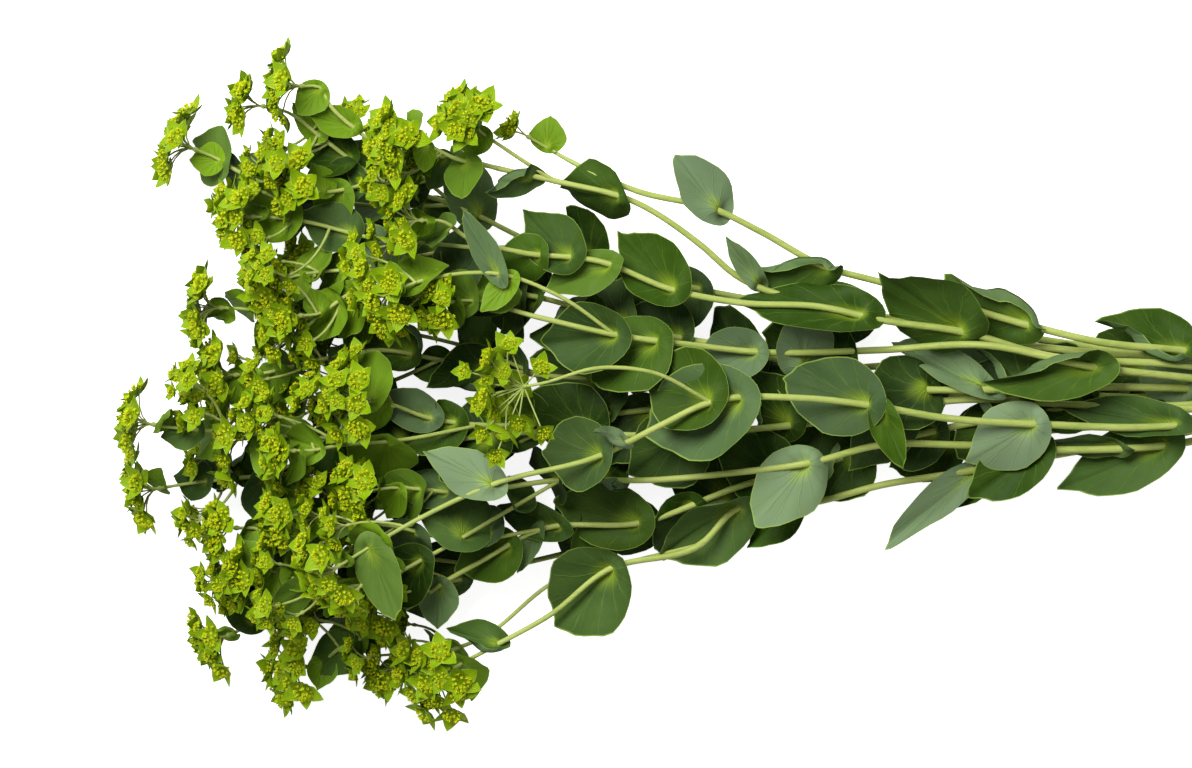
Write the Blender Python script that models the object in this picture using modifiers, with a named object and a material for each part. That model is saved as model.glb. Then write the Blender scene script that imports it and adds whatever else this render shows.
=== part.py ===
"""A bunch of bupleurum, laid down: leafy stems, umbels at their ends and a band round the stems.

The bunch lies along X with its heads at -X and its cut ends at +X. Shapes are worked out in
millimetres and scaled to metres when an object is made. Layout points are steps of half a
millimetre on a view from above, x towards the cut ends and y towards the lower side.
"""

import math
import random

import bmesh
import bpy
import numpy as np
from mathutils import Matrix, Vector
from mathutils.bvhtree import BVHTree

METRES = 0.001
STEP = 0.5
MIDDLE = (771, 384)

# Widths of a main stem at layout x, from its cut end to its head; then of a branch.
STEM_WIDTHS = ((1420, 4.8), (1000, 4.4), (700, 3.8), (450, 2.8), (100, 2.2))
BRANCH_WIDTH = 2.4
BRANCH_END_WIDTH = 1.8
SEAT_GAP = 0.3

# How stems are eased apart: the room between them, the room under them, and how it is done.
CLEARANCE = 0.6
STEM_FLOOR = 0.5
HEAD_FLOOR = 4.0
HEAD_SHARE = 0.62
SAMPLE_EVERY = 4.0
EASE_ROUNDS = 260
EASE_STEP = 1.2

# The tie: stems lie in rows a pitch apart inside the band, and are cut a little past it.
TIE_X = 1330
TIE_Y = 392
TIE_REACH = 25
CUT_X = 1405
CUT_STAGGER = 6
TIE_PITCH = 5.3
BAND_WIDTH = 11.0
BAND_WALL = 1.4
BAND_SIDES = 24
BAND_INNER = 12.3
BAND_OUTER = BAND_INNER + BAND_WALL
TIE_HEIGHT = BAND_OUTER * math.cos(math.pi / BAND_SIDES)

# A leaf: its thickness, its outline, and the thicker blade that has to pass clear of the rest.
BLADE = 0.8
TEST_BLADE = 1.8
LEAF_POINTS = 8
COLLAR_POINTS = 6
TIP_SHARE = 0.82
TIP_POINT = 0.35
TRIAL_DROPS = (0, -4, 4, -9, 9, -15, 15)
TRIAL_ROLLS = (0, -12, 12, -25, 25, -40, 40)
TRIAL_SIZES = (1.0, 0.94, 0.86)

# An umbel: its hub, its rays and the umbellule at the end of each ray.
RAY_WIDTH = 1.1
STAR_RADIUS = 8.0
STAR_NOTCH = 4.6
STAR_DOME = 3.8
STAR_TEST_SIZE = 1.07
SMALL_UMBEL = 10
SMALL_STAR_SIZE = 0.8
HUB_WIDTH = 3.4
HUB_LENGTH = 3.0
UMBEL_REACH = 12.0
NECK = 7.0
RIM_INSET = 5
RAY_SIZES = (1.0, 0.92, 0.84, 1.1, 0.72, 1.22)
RAY_TURNS = (0, 14, -14, 26)

# Leaves placed by a rule: inside the bunch along the stems named, and below the umbels.
SPREAD_SEED = 11
LEAF_EVERY = 92
LEAF_CURL = 0.2
LISTED_NEAR = 24
FILLED = ("stem_05", "stem_09", "stem_10", "stem_11", "stem_12", "stem_13", "stem_14")
FILL_SIZES = ((300, 0.6), (520, 0.85), (900, 1.0))
COLLAR_BACK = 17
COLLAR_LENGTH = 15
COLLAR_NEAR = 26
UPPER_EDGE = ((330, 140), (480, 165), (650, 230), (850, 262), (1000, 300), (1192, 330), (1300, 360))
LOWER_EDGE = ((330, 640), (480, 600), (650, 560), (780, 525), (950, 505), (1192, 470), (1300, 430))

# Each stem: its place in the tie (row, column), then points (x, y, height in mm).
STEMS = {
    "stem_01": ((1, 1), [(1192, 352, 36), (1100, 342, 41), (1028, 325, 43), (975, 310, 44),
                (880, 282, 47), (825, 267, 51), (760, 232, 56), (717, 211, 60), (637, 192, 64),
                (590, 172, 62)]),
    "stem_02": ((0, 1.5), [(1192, 358, 24), (1090, 352, 30), (980, 338, 36), (860, 312, 44),
                (735, 275, 52), (700, 245, 56), (633, 202, 62), (555, 182, 66), (500, 170, 70)]),
    "stem_03": ((2, 0.5), [(1192, 366, 30), (1045, 355, 40), (963, 332, 48), (880, 320, 52),
                (820, 307, 54), (740, 303, 56), (672, 290, 58), (600, 262, 62), (520, 253, 66),
                (470, 240, 72)]),
    "stem_04": ((1, 0), [(1192, 378, 34), (1093, 367, 42), (982, 345, 46), (880, 350, 42),
                (757, 352, 48), (690, 345, 56), (615, 335, 64), (540, 318, 68)]),
    "stem_05": ((0, 0.5), [(1192, 388, 26), (1095, 387, 34), (965, 390, 38), (892, 388, 38),
                (790, 362, 38), (720, 345, 38), (640, 330, 40), (550, 300, 44), (460, 285, 50),
                (390, 272, 56)]),
    "stem_06": ((2, -0.5), [(1192, 424, 36), (1035, 424, 48), (945, 418, 54), (868, 405, 60),
                (800, 398, 66), (710, 402, 71), (660, 425, 76), (600, 455, 81), (495, 483, 86),
                (425, 515, 90)]),
    "stem_07": ((0, -1.5), [(1192, 442, 28), (1075, 450, 38), (960, 445, 38), (880, 445, 46),
                (808, 463, 54), (740, 472, 50), (650, 480, 48), (560, 480, 50), (465, 492, 54)]),
    "stem_08": ((-1, -1), [(1192, 432, 16), (1060, 455, 20), (950, 475, 22), (890, 484, 28),
                (800, 505, 34), (740, 507, 38), (700, 545, 42), (607, 570, 50), (550, 615, 46),
                (500, 643, 46)]),
    "stem_09": ((0, -0.5), [(1192, 405, 24), (1050, 412, 22), (900, 440, 24), (820, 465, 28),
                (745, 485, 34), (640, 523, 40), (540, 530, 38), (480, 562, 40), (440, 585, 42)]),
    "stem_10": ((-1, 0), [(1192, 398, 14), (1050, 395, 16), (900, 395, 20), (780, 400, 26),
                (700, 405, 30), (600, 415, 36), (480, 425, 50), (430, 418, 56)]),
    "stem_11": ((1, -1), [(1192, 409, 30), (1080, 405, 32), (960, 400, 32), (840, 420, 34),
                (740, 430, 38), (640, 435, 42), (540, 432, 46), (440, 440, 50), (370, 440, 54),
                (310, 437, 58)]),
    "stem_12": ((-2, 0.5), [(1192, 362, 8), (1050, 340, 10), (900, 318, 12), (760, 300, 16),
                (640, 275, 22), (540, 245, 30), (455, 205, 40), (380, 180, 48), (322, 138, 54)]),
    "stem_13": ((-2, -0.5), [(1192, 420, 6), (1060, 430, 8), (920, 450, 9), (800, 480, 11),
                (700, 510, 13), (600, 545, 15), (500, 570, 18), (420, 590, 22), (350, 600, 26),
                (287, 606, 28)]),
    "stem_14": ((-1, 1), [(1192, 375, 18), (1060, 370, 20), (900, 365, 22), (780, 375, 24),
                (660, 380, 26), (540, 375, 30), (440, 360, 36), (380, 350, 42), (310, 362, 46)]),
}

# Each branch: its stem, the stem point (x) it leaves from, then its own points.
BRANCHES = {
    "stem_02b": ("stem_02", 555, [(508, 152, 74)]),
    "stem_02c": ("stem_02", 500, [(455, 160, 80)]),
    "stem_03b": ("stem_03", 520, [(440, 245, 64), (370, 238, 60), (305, 222, 62)]),
    "stem_04b": ("stem_04", 615, [(560, 297, 74), (500, 275, 80), (440, 278, 86)]),
    "stem_05b": ("stem_05", 460, [(380, 310, 44), (300, 318, 44)]),
    "stem_05c": ("stem_05", 390, [(345, 298, 66)]),
    "stem_06b": ("stem_06", 710, [(650, 372, 84), (600, 368, 88)]),
    "stem_07b": ("stem_07", 560, [(500, 515, 50), (440, 550, 54), (360, 585, 58), (310, 585, 58)]),
    "stem_08b": ("stem_08", 700, [(640, 560, 30), (560, 580, 24), (480, 640, 22)]),
    "stem_09b": ("stem_09", 540, [(460, 540, 50), (390, 525, 58), (345, 520, 62)]),
    "stem_10b": ("stem_10", 480, [(400, 440, 68), (340, 445, 74)]),
    "stem_11b": ("stem_11", 440, [(330, 470, 40), (240, 478, 36)]),
    "stem_11c": ("stem_11", 310, [(230, 432, 66)]),
    "stem_12b": ("stem_12", 455, [(400, 160, 56), (360, 133, 62), (330, 105, 66)]),
    "stem_12c": ("stem_12", 380, [(345, 190, 56)]),
    "stem_12d": ("stem_12", 455, [(370, 205, 34), (300, 195, 30), (236, 170, 28)]),
    "stem_13b": ("stem_13", 420, [(370, 635, 22), (335, 652, 22)]),
    "stem_13c": ("stem_13", 350, [(300, 560, 36), (270, 535, 40)]),
    "stem_14b": ("stem_14", 440, [(380, 385, 30), (340, 395, 28)]),
    "stem_14c": ("stem_14", 540, [(460, 345, 30), (390, 330, 30)]),
    "stem_11d": ("stem_11", 540, [(460, 470, 28), (380, 490, 24)]),
    "stem_13d": ("stem_13", 500, [(430, 560, 24), (380, 555, 20)]),
    "stem_12e": ("stem_12", 540, [(450, 250, 20), (380, 260, 18)]),
}

# Each umbel: what carries it, its hub (x, y, height), azimuth and lift of its face, radius, rays.
UMBELS = {
    "umbel_01": ("stem_12d", (197, 150, 26), 159, 5, 22, 6),
    "umbel_02": ("stem_12b", (307, 88, 68), 178, 10, 21, 5),
    "umbel_03": ("stem_12", (268, 108, 56), 170, 8, 16, 4),
    "umbel_04": ("stem_12c", (312, 190, 64), 165, 40, 18, 4),
    "umbel_05": ("stem_03b", (258, 218, 66), 180, 25, 20, 5),
    "umbel_06": ("stem_02c", (412, 145, 88), 182, 45, 19, 5),
    "umbel_07": ("stem_02", (440, 158, 62), 180, 30, 11, 4),
    "umbel_08": ("stem_02b", (475, 127, 82), 135, 50, 17, 5),
    "umbel_09": ("stem_03", (427, 222, 84), 180, 20, 20, 4),
    "umbel_10": ("stem_05", (284, 280, 64), 195, 15, 22, 6),
    "umbel_11": ("stem_05b", (225, 308, 44), 178, 5, 24, 6),
    "umbel_12": ("stem_04b", (398, 292, 96), 205, 40, 22, 6),
    "umbel_13": ("stem_05c", (306, 316, 76), 185, 30, 12, 4),
    "umbel_14": ("stem_04", (455, 302, 76), 185, 35, 17, 4),
    "umbel_15": ("stem_10", (368, 402, 76), 182, 35, 23, 6),
    "umbel_16": ("stem_11", (250, 438, 56), 183, 5, 25, 6),
    "umbel_17": ("stem_11b", (162, 488, 34), 190, 5, 22, 6),
    "umbel_18": ("stem_11c", (160, 425, 70), 172, 5, 20, 5),
    "umbel_19": ("stem_07", (374, 490, 72), 190, 35, 19, 5),
    "umbel_20": ("stem_10b", (300, 450, 84), 180, 25, 13, 4),
    "umbel_21": ("stem_13c", (240, 528, 46), 180, 20, 15, 4),
    "umbel_22": ("stem_06b", (528, 386, 92), 190, -22, 27, 9),
    "umbel_23": ("stem_01", (532, 140, 62), 150, 20, 8, 3),
    "umbel_24": ("stem_13", (230, 635, 24), 205, 15, 20, 5),
    "umbel_25": ("stem_13b", (306, 668, 22), 190, 35, 22, 6),
    "umbel_26": ("stem_08", (447, 672, 48), 210, 45, 25, 7),
    "umbel_27": ("stem_06", (345, 562, 92), 212, 20, 25, 7),
    "umbel_28": ("stem_07b", (262, 572, 56), 185, 20, 15, 4),
    "umbel_29": ("stem_09", (400, 612, 42), 205, 15, 14, 4),
    "umbel_30": ("stem_14", (240, 375, 48), 182, 10, 22, 6),
    "umbel_31": ("stem_14b", (300, 398, 26), 184, 20, 18, 4),
    "umbel_32": ("stem_09b", (300, 515, 68), 190, 25, 16, 4),
    "umbel_34": ("stem_14c", (345, 326, 28), 182, 12, 20, 4),
    "umbel_35": ("stem_11d", (315, 500, 22), 186, 12, 20, 4),
    "umbel_36": ("stem_13d", (330, 552, 18), 178, 12, 20, 4),
    "umbel_37": ("stem_12e", (320, 258, 20), 176, 12, 20, 4),
    "umbel_33": ("stem_08b", (400, 668, 20), 200, 15, 15, 4),
}

# Each leaf: its stem, where the stem pierces it, its tip, how far the tip drops (mm), its width
# as a share of its length, its roll in degrees and how much its upper half curls.
LEAVES = [
    ("stem_01", (1185, 350), (1100, 322), 6, 0.62, 25, 0.25),
    ("stem_01", (1028, 325), (950, 276), 6, 0.60, -15, 0.30),
    ("stem_01", (825, 267), (750, 268), 4, 0.62, -40, 0.25),
    ("stem_01", (717, 211), (676, 156), -6, 0.62, 20, 0.15),
    ("stem_02", (618, 195), (560, 190), 14, 1.00, 0, 0.10),
    ("stem_02", (535, 175), (480, 183), -4, 0.60, -45, 0.30),
    ("stem_02", (758, 285), (726, 243), 4, 0.34, 30, 0.20),
    ("stem_12", (480, 215), (455, 148), -10, 0.60, 10, 0.15),
    ("stem_03", (963, 332), (882, 272), -11, 0.78, 5, 0.15),
    ("stem_03", (860, 314), (742, 298), 8, 0.42, 35, 0.20),
    ("stem_03", (672, 290), (622, 237), 12, 0.70, 0, 0.20),
    ("stem_03", (610, 266), (547, 292), 8, 0.55, 20, 0.20),
    ("stem_03", (570, 258), (527, 214), 10, 0.75, 0, 0.15),
    ("stem_03", (540, 256), (497, 262), 12, 0.80, 15, 0.15),
    ("stem_04", (1093, 367), (980, 378), 6, 0.40, 35, 0.35),
    ("stem_04", (757, 352), (697, 362), 2, 0.75, 5, 0.20),
    ("stem_04", (615, 335), (546, 342), 14, 0.80, 0, 0.15),
    ("stem_05", (1190, 388), (1139, 374), -4, 0.95, 5, 0.10),
    ("stem_05", (985, 392), (895, 342), -6, 0.30, 25, 0.15),
    ("stem_05", (805, 366), (800, 305), -16, 0.78, 10, 0.10),
    ("stem_06", (1175, 424), (1062, 408), 8, 0.30, 30, 0.20),
    ("stem_06", (1035, 424), (970, 462), 6, 0.75, 0, 0.10),
    ("stem_06", (868, 405), (788, 380), 14, 0.74, 0, 0.12),
    ("stem_06", (880, 407), (902, 466), 6, 0.42, 10, 0.20),
    ("stem_06", (710, 402), (650, 368), 15, 0.95, 0, 0.12),
    ("stem_06", (740, 400), (656, 432), 22, 0.80, 10, 0.15),
    ("stem_06", (600, 455), (546, 452), 15, 1.00, 0, 0.12),
    ("stem_06", (625, 443), (594, 432), -6, 0.55, 50, 0.25),
    ("stem_06", (495, 483), (429, 450), -2, 0.55, 10, 0.15),
    ("stem_07", (1165, 443), (1068, 490), 8, 0.52, 15, 0.20),
    ("stem_07", (1120, 446), (1045, 436), 4, 0.28, -30, 0.20),
    ("stem_07", (1040, 450), (975, 498), 8, 0.62, 10, 0.20),
    ("stem_07", (808, 463), (757, 524), -4, 0.72, 5, 0.10),
    ("stem_08", (980, 469), (887, 547), -8, 0.24, 20, 0.15),
    ("stem_08", (1000, 466), (938, 508), 8, 0.60, 10, 0.20),
    ("stem_08", (740, 507), (660, 545), 12, 0.66, 5, 0.20),
    ("stem_08", (795, 505), (752, 545), 6, 0.60, 10, 0.20),
    ("stem_08", (612, 569), (556, 622), 15, 0.92, 0, 0.12),
    ("stem_08", (500, 643), (450, 630), 4, 0.60, 10, 0.30),
    ("stem_09", (640, 523), (562, 505), 12, 0.66, 5, 0.20),
    ("stem_09", (540, 530), (518, 572), 2, 0.36, 10, 0.15),
    ("stem_09", (510, 546), (460, 572), 12, 0.80, 0, 0.15),
    ("stem_09", (560, 529), (498, 508), 10, 0.45, 20, 0.20),
    ("stem_09", (440, 585), (437, 627), 2, 0.80, 0, 0.15),
    ("stem_10", (430, 418), (374, 396), -2, 0.58, 10, 0.15),
    ("stem_12b", (355, 128), (314, 118), 4, 0.62, 10, 0.20),
    ("stem_12", (320, 136), (294, 102), 4, 0.50, 20, 0.20),
    ("stem_12", (392, 184), (352, 142), 8, 0.80, 0, 0.15),
    ("stem_12c", (362, 186), (326, 176), 8, 0.95, 0, 0.15),
    ("stem_12d", (275, 186), (240, 154), 2, 0.65, 5, 0.15),
    ("stem_12d", (217, 160), (187, 158), 2, 1.00, 0, 0.15),
    ("stem_03b", (352, 234), (305, 215), 8, 0.80, 5, 0.15),
    ("stem_05", (400, 274), (345, 226), 4, 0.60, 10, 0.15),
    ("stem_14", (448, 361), (413, 372), 6, 0.85, 5, 0.15),
    ("stem_13b", (350, 645), (310, 674), 2, 0.78, 5, 0.20),
    ("stem_13", (287, 606), (238, 612), 4, 0.75, 5, 0.20),
    ("stem_07b", (400, 568), (372, 560), 4, 0.60, 10, 0.20),
    ("stem_06", (372, 545), (397, 612), 10, 0.50, 10, 0.20),
    ("stem_11b", (205, 480), (172, 474), 4, 1.00, 5, 0.15),
    ("stem_11c", (200, 428), (166, 436), 4, 0.85, 10, 0.15),
    ("stem_11b", (300, 474), (262, 498), 4, 0.50, 10, 0.20),
    ("stem_11", (310, 437), (268, 425), 4, 0.60, 10, 0.20),
    ("stem_04b", (512, 280), (484, 312), 2, 0.55, 10, 0.20),
    ("stem_04b", (500, 275), (466, 212), -2, 0.32, 10, 0.15),
]


def layout(x, y):
    """A layout point in millimetres from the middle of the bunch."""
    return (x - MIDDLE[0]) * STEP, (MIDDLE[1] - y) * STEP


def width_at(x):
    """The width of a main stem, which thins from its cut end to its head."""
    places = [place for place, _ in STEM_WIDTHS][::-1]
    widths = [width for _, width in STEM_WIDTHS][::-1]
    return float(np.interp(x, places, widths))


def facing(azimuth, lift):
    turn, rise = math.radians(azimuth), math.radians(lift)
    return Vector((math.cos(turn) * math.cos(rise), math.sin(turn) * math.cos(rise), math.sin(rise)))


class Route:
    """A stem or a branch: points whose heights can be eased up or down together or held."""

    def __init__(self, node, branch):
        self.node = node
        self.branch = branch
        self.flat = []
        self.level = []
        self.offset = []
        self.width = []

    def add(self, x, y, level, width, offset=0.0):
        self.flat.append((x, y))
        self.level.append(level)
        self.offset.append(offset)
        self.width.append(width)

    def points(self, levels):
        return [
            Vector((x, y, levels[level] + offset))
            for (x, y), level, offset in zip(self.flat, self.level, self.offset)
        ]


class Levels:
    """The heights that the routes share, in millimetres."""

    def __init__(self):
        self.heights = []
        self.held = []

    def new(self, height, held=False):
        self.heights.append(float(height))
        self.held.append(held)
        return len(self.heights) - 1


def lay_routes():
    """Every stem and branch, from the tie to its umbel's hub."""
    levels = Levels()
    routes = {}
    for name, ((row, column), points) in STEMS.items():
        route = Route(name, branch=False)
        side = layout(TIE_X, TIE_Y)[1] + column * TIE_PITCH
        tie = levels.new(TIE_HEIGHT + row * TIE_PITCH * math.sqrt(0.75), held=True)
        stagger = CUT_STAGGER * ((row + 2 * column) % 3)
        for x in (CUT_X + stagger, TIE_X - TIE_REACH):
            route.add(layout(x, 0)[0], side, tie, width_at(x))
        for x, y, height in points:
            route.add(*layout(x, y), levels.new(height), width_at(x))
        routes[name] = route
    for name, (parent, fork_x, points) in BRANCHES.items():
        stem = routes[parent]
        fork = [x for x, _, _ in STEMS[parent][1]].index(fork_x) + 2
        route = Route(parent, branch=True)
        route.add(*stem.flat[fork], stem.level[fork], BRANCH_WIDTH)
        for x, y, height in points:
            route.add(*layout(x, y), levels.new(height), BRANCH_WIDTH)
        routes[name] = route
    for carrier, (x, y, height), azimuth, lift, _, _ in UMBELS.values():
        route = routes[carrier]
        hub = levels.new(height)
        face = facing(azimuth, lift)
        flat = Vector(layout(x, y))
        route.add(*(flat - NECK * face.xy), hub, BRANCH_END_WIDTH, offset=-NECK * face.z)
        route.add(*flat, hub, BRANCH_END_WIDTH)
    return routes, levels


def samples_along(routes):
    """Places along the routes: x, y, the two levels, the share between them, offset, radius, node."""
    rows = []
    for route in routes.values():
        for i in range(len(route.flat) - 1):
            a, b = Vector(route.flat[i]), Vector(route.flat[i + 1])
            count = max(2, round((b - a).length / SAMPLE_EVERY))
            for k in range(count + 1):
                f = k / count
                spot = a.lerp(b, f)
                width = route.width[i] * (1 - f) + route.width[i + 1] * f
                offset = route.offset[i] * (1 - f) + route.offset[i + 1] * f
                rows.append((spot.x, spot.y, route.level[i], route.level[i + 1], f, offset,
                             width / 2, int(route.node[-2:])))
    return rows


def samples_of_heads(routes):
    """One ball for each umbel, smaller than its reach because umbels can mesh a little."""
    rows = []
    for carrier, _, azimuth, lift, radius, _ in UMBELS.values():
        route = routes[carrier]
        centre = Vector((*route.flat[-1], 0)) + UMBEL_REACH * facing(azimuth, lift)
        rows.append((centre.x, centre.y, route.level[-1], route.level[-1], 0.0, centre.z,
                     HEAD_SHARE * radius, int(route.node[-2:])))
    return rows


def ease_apart(routes, levels):
    """Eases the heights until stems of different nodes, and heads, pass clear of each other.

    It gives how many millimetres the closest pair is still short of its clearance.
    """
    rows = samples_along(routes)
    stems_end = len(rows)
    rows += samples_of_heads(routes)
    table = np.array(rows)
    x, y, share, offset, radius, node = (table[:, i] for i in (0, 1, 4, 5, 6, 7))
    low, high = table[:, 2].astype(int), table[:, 3].astype(int)
    head = np.arange(len(rows)) >= stems_end
    reach = radius[:, None] + radius[None, :] + CLEARANCE
    gap = np.hypot(x[:, None] - x[None, :], y[:, None] - y[None, :])
    first, second = np.nonzero(np.triu(gap < reach, 1))
    both_heads = head[first] & head[second]
    both_stems = ~head[first] & ~head[second]
    keep = both_heads | (both_stems & (node[first] != node[second]))
    first, second = first[keep], second[keep]
    need = np.sqrt(reach[first, second] ** 2 - gap[first, second] ** 2)
    heights = np.array(levels.heights)
    free = ~np.array(levels.held)
    for _ in range(EASE_ROUNDS):
        z = heights[low] * (1 - share) + heights[high] * share + offset
        apart = z[first] - z[second]
        short = np.maximum(need - np.abs(apart), 0)
        push = np.where(apart >= 0, 0.5, -0.5) * short
        moved = np.zeros(len(heights))
        weight = np.zeros(len(heights))
        for index, sign in ((first, 1), (second, -1)):
            for end, part in ((low, 1 - share), (high, share)):
                np.add.at(moved, end[index], sign * push * part[index])
                np.add.at(weight, end[index], (short > 0) * part[index])
        floor = radius + np.where(head, HEAD_FLOOR, STEM_FLOOR)
        sunk = np.maximum(floor - z, 0)
        for end, part in ((low, 1 - share), (high, share)):
            np.add.at(moved, end, sunk * part)
            np.add.at(weight, end, (sunk > 0) * part)
        heights += free * EASE_STEP * moved / np.maximum(weight, 1e-6) * (weight > 1e-6)
    levels.heights = list(heights)
    return float(short.max())


class Placed:
    """What stands already, so that each new piece can be bent clear of the other nodes."""

    def __init__(self):
        self.nodes = []
        self.lows = []
        self.highs = []
        self.trees = []

    def add(self, node, points, faces):
        """A piece of a node; one with no node is kept clear of by every later piece."""
        spread = np.array(points)
        self.nodes.append(node)
        self.lows.append(spread.min(axis=0))
        self.highs.append(spread.max(axis=0))
        self.trees.append(BVHTree.FromPolygons([tuple(p) for p in points], faces))

    def is_clear(self, node, points, faces):
        spread = np.array(points)
        low, high = spread.min(axis=0), spread.max(axis=0)
        if low[2] < 0:
            return False
        near = (np.array(self.lows) < high).all(axis=1) & (np.array(self.highs) > low).all(axis=1)
        near &= np.array(self.nodes) != node
        if not near.any():
            return True
        tree = BVHTree.FromPolygons([tuple(p) for p in points], faces)
        return not any(self.trees[i].overlap(tree) for i in np.nonzero(near)[0])


def mesh_faces(mesh):
    return [tuple(face.vertices) for face in mesh.polygons]


def object_of(name, mesh, collection):
    made = bpy.data.objects.new(name, mesh)
    collection.objects.link(made)
    return made


def shape_mesh(shape, name, matrix=None):
    """A mesh in metres from a bmesh in millimetres."""
    if matrix is not None:
        bmesh.ops.transform(shape, matrix=matrix, verts=shape.verts)
    bmesh.ops.scale(shape, vec=(METRES,) * 3, verts=shape.verts)
    mesh = bpy.data.meshes.new(name)
    shape.to_mesh(mesh)
    shape.free()
    return mesh


def in_millimetres(mesh):
    return [vertex.co / METRES for vertex in mesh.vertices]


def tube(name, points, widths, collection):
    """A closed tube along the points, as a mesh object."""
    curve = bpy.data.curves.new(name, "CURVE")
    curve.dimensions = "3D"
    curve.bevel_depth = METRES / 2
    curve.bevel_resolution = 0
    curve.use_fill_caps = True
    spline = curve.splines.new("POLY")
    spline.points.add(len(points) - 1)
    for spot, point, width in zip(spline.points, points, widths):
        spot.co = (*(point * METRES), 1.0)
        spot.radius = width
    guide = object_of(name + "_guide", curve, collection)
    bpy.context.view_layer.update()
    mesh = bpy.data.meshes.new_from_object(guide.evaluated_get(bpy.context.evaluated_depsgraph_get()))
    bpy.data.objects.remove(guide)
    bpy.data.curves.remove(curve)
    shape = bmesh.new()
    shape.from_mesh(mesh)
    bmesh.ops.remove_doubles(shape, verts=shape.verts, dist=1e-6)
    shape.to_mesh(mesh)
    shape.free()
    return object_of(name, mesh, collection)


def leaf_axes(pierce, tip, roll):
    """The blade's own axes: along to the tip, across, and out of its upper face."""
    along = (tip - pierce).normalized()
    across = Vector((0, 0, 1)).cross(along).normalized()
    across = Matrix.Rotation(math.radians(roll), 3, along) @ across
    return along, across, along.cross(across)


def blade_point(turn, width):
    """A point of the blade's outline, with the pierced point at 0, 0 and a length of 1."""
    along = TIP_SHARE - 0.5 + 0.5 * math.cos(turn)
    taper = 1 - TIP_POINT * max(0.0, math.cos(turn)) ** 2
    return along, 0.5 * width * math.sin(turn) * taper


def leaf_shape(pierce, tip, width, roll, curl, sides):
    """The blade's middle surface, creased across so that its upper half curls by its share."""
    length = (tip - pierce).length / TIP_SHARE
    along, across, out = leaf_axes(pierce, tip, roll)
    shape = bmesh.new()
    bmesh.ops.create_circle(shape, cap_ends=True, segments=sides, radius=1)
    rim = list(shape.verts)
    fold = sides // 4
    crease, _ = blade_point(2 * math.pi * fold / sides, width)
    for number, vertex in enumerate(rim):
        u, v = blade_point(2 * math.pi * number / sides, width)
        rise = curl * max(0.0, u - crease)
        vertex.co = pierce + length * (u * along + v * across + rise * out)
    bmesh.ops.connect_verts(shape, verts=[rim[fold], rim[-fold]])
    bmesh.ops.recalc_face_normals(shape, faces=shape.faces)
    return shape


def thick_leaf(shape, blade, collection, name):
    """The blade at its thickness."""
    mesh = shape_mesh(shape, name)
    leaf = object_of(name, mesh, collection)
    solid = leaf.modifiers.new("blade", "SOLIDIFY")
    solid.thickness = blade * METRES
    solid.offset = 0
    solid.use_even_offset = True
    return leaf


def solid_points(shape, blade):
    """Both faces of the blade, for the test against other nodes."""
    shape.normal_update()
    count = len(shape.verts)
    shape.verts.index_update()
    points = [v.co + v.normal * blade / 2 for v in shape.verts]
    points += [v.co - v.normal * blade / 2 for v in shape.verts]
    faces = [[v.index for v in face.verts] for face in shape.faces]
    faces += [[v + count for v in reversed(face)] for face in faces]
    for edge in shape.edges:
        if edge.is_boundary:
            a, b = (v.index for v in edge.verts)
            faces.append([a, b, b + count, a + count])
    return points, faces


def leaf_trials():
    """Changes of the tip's drop, the roll and the size, with the slightest change first.

    A drop of 6 mm, a roll of 18 degrees and a size smaller by one part in 14 count alike.
    """
    trials = [(drop, roll, size) for size in TRIAL_SIZES for drop in TRIAL_DROPS for roll in TRIAL_ROLLS]
    return sorted(trials, key=lambda trial: abs(trial[0]) / 6 + abs(trial[1]) / 18 + (1 - trial[2]) * 14)


def point_on(route, levels, x, y):
    """The point of a route nearest to a layout point, a little inside one of its stretches."""
    spot = Vector(layout(x, y))
    points = route.points(levels)
    nearest, least = None, math.inf
    for a, b in zip(points, points[1:]):
        run = b.xy - a.xy
        share = 0.5 if run.length < 1e-6 else (spot - a.xy).dot(run) / run.length_squared
        point = a.lerp(b, min(max(share, 0.02), 0.98))
        gap = (point.xy - spot).length
        if gap < least:
            nearest, least = point, gap
    return nearest


def place_leaf(placed, node, pierce, tip, width, roll, curl, sides):
    """The first trial that stands clear of the other nodes, or None."""
    for drop, turn, size in leaf_trials():
        end = pierce + (tip - pierce) * size - Vector((0, 0, drop))
        end.z = max(end.z, 2 * BLADE)
        shape = leaf_shape(pierce, end, width, roll + turn, curl, sides)
        points, faces = solid_points(shape, TEST_BLADE)
        if placed.is_clear(node, points, faces):
            placed.add("", points, faces)
            return shape
        shape.free()
    return None


def inside_bunch(x, y):
    upper = np.interp(x, *zip(*UPPER_EDGE))
    lower = np.interp(x, *zip(*LOWER_EDGE))
    return upper < y < lower


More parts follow.
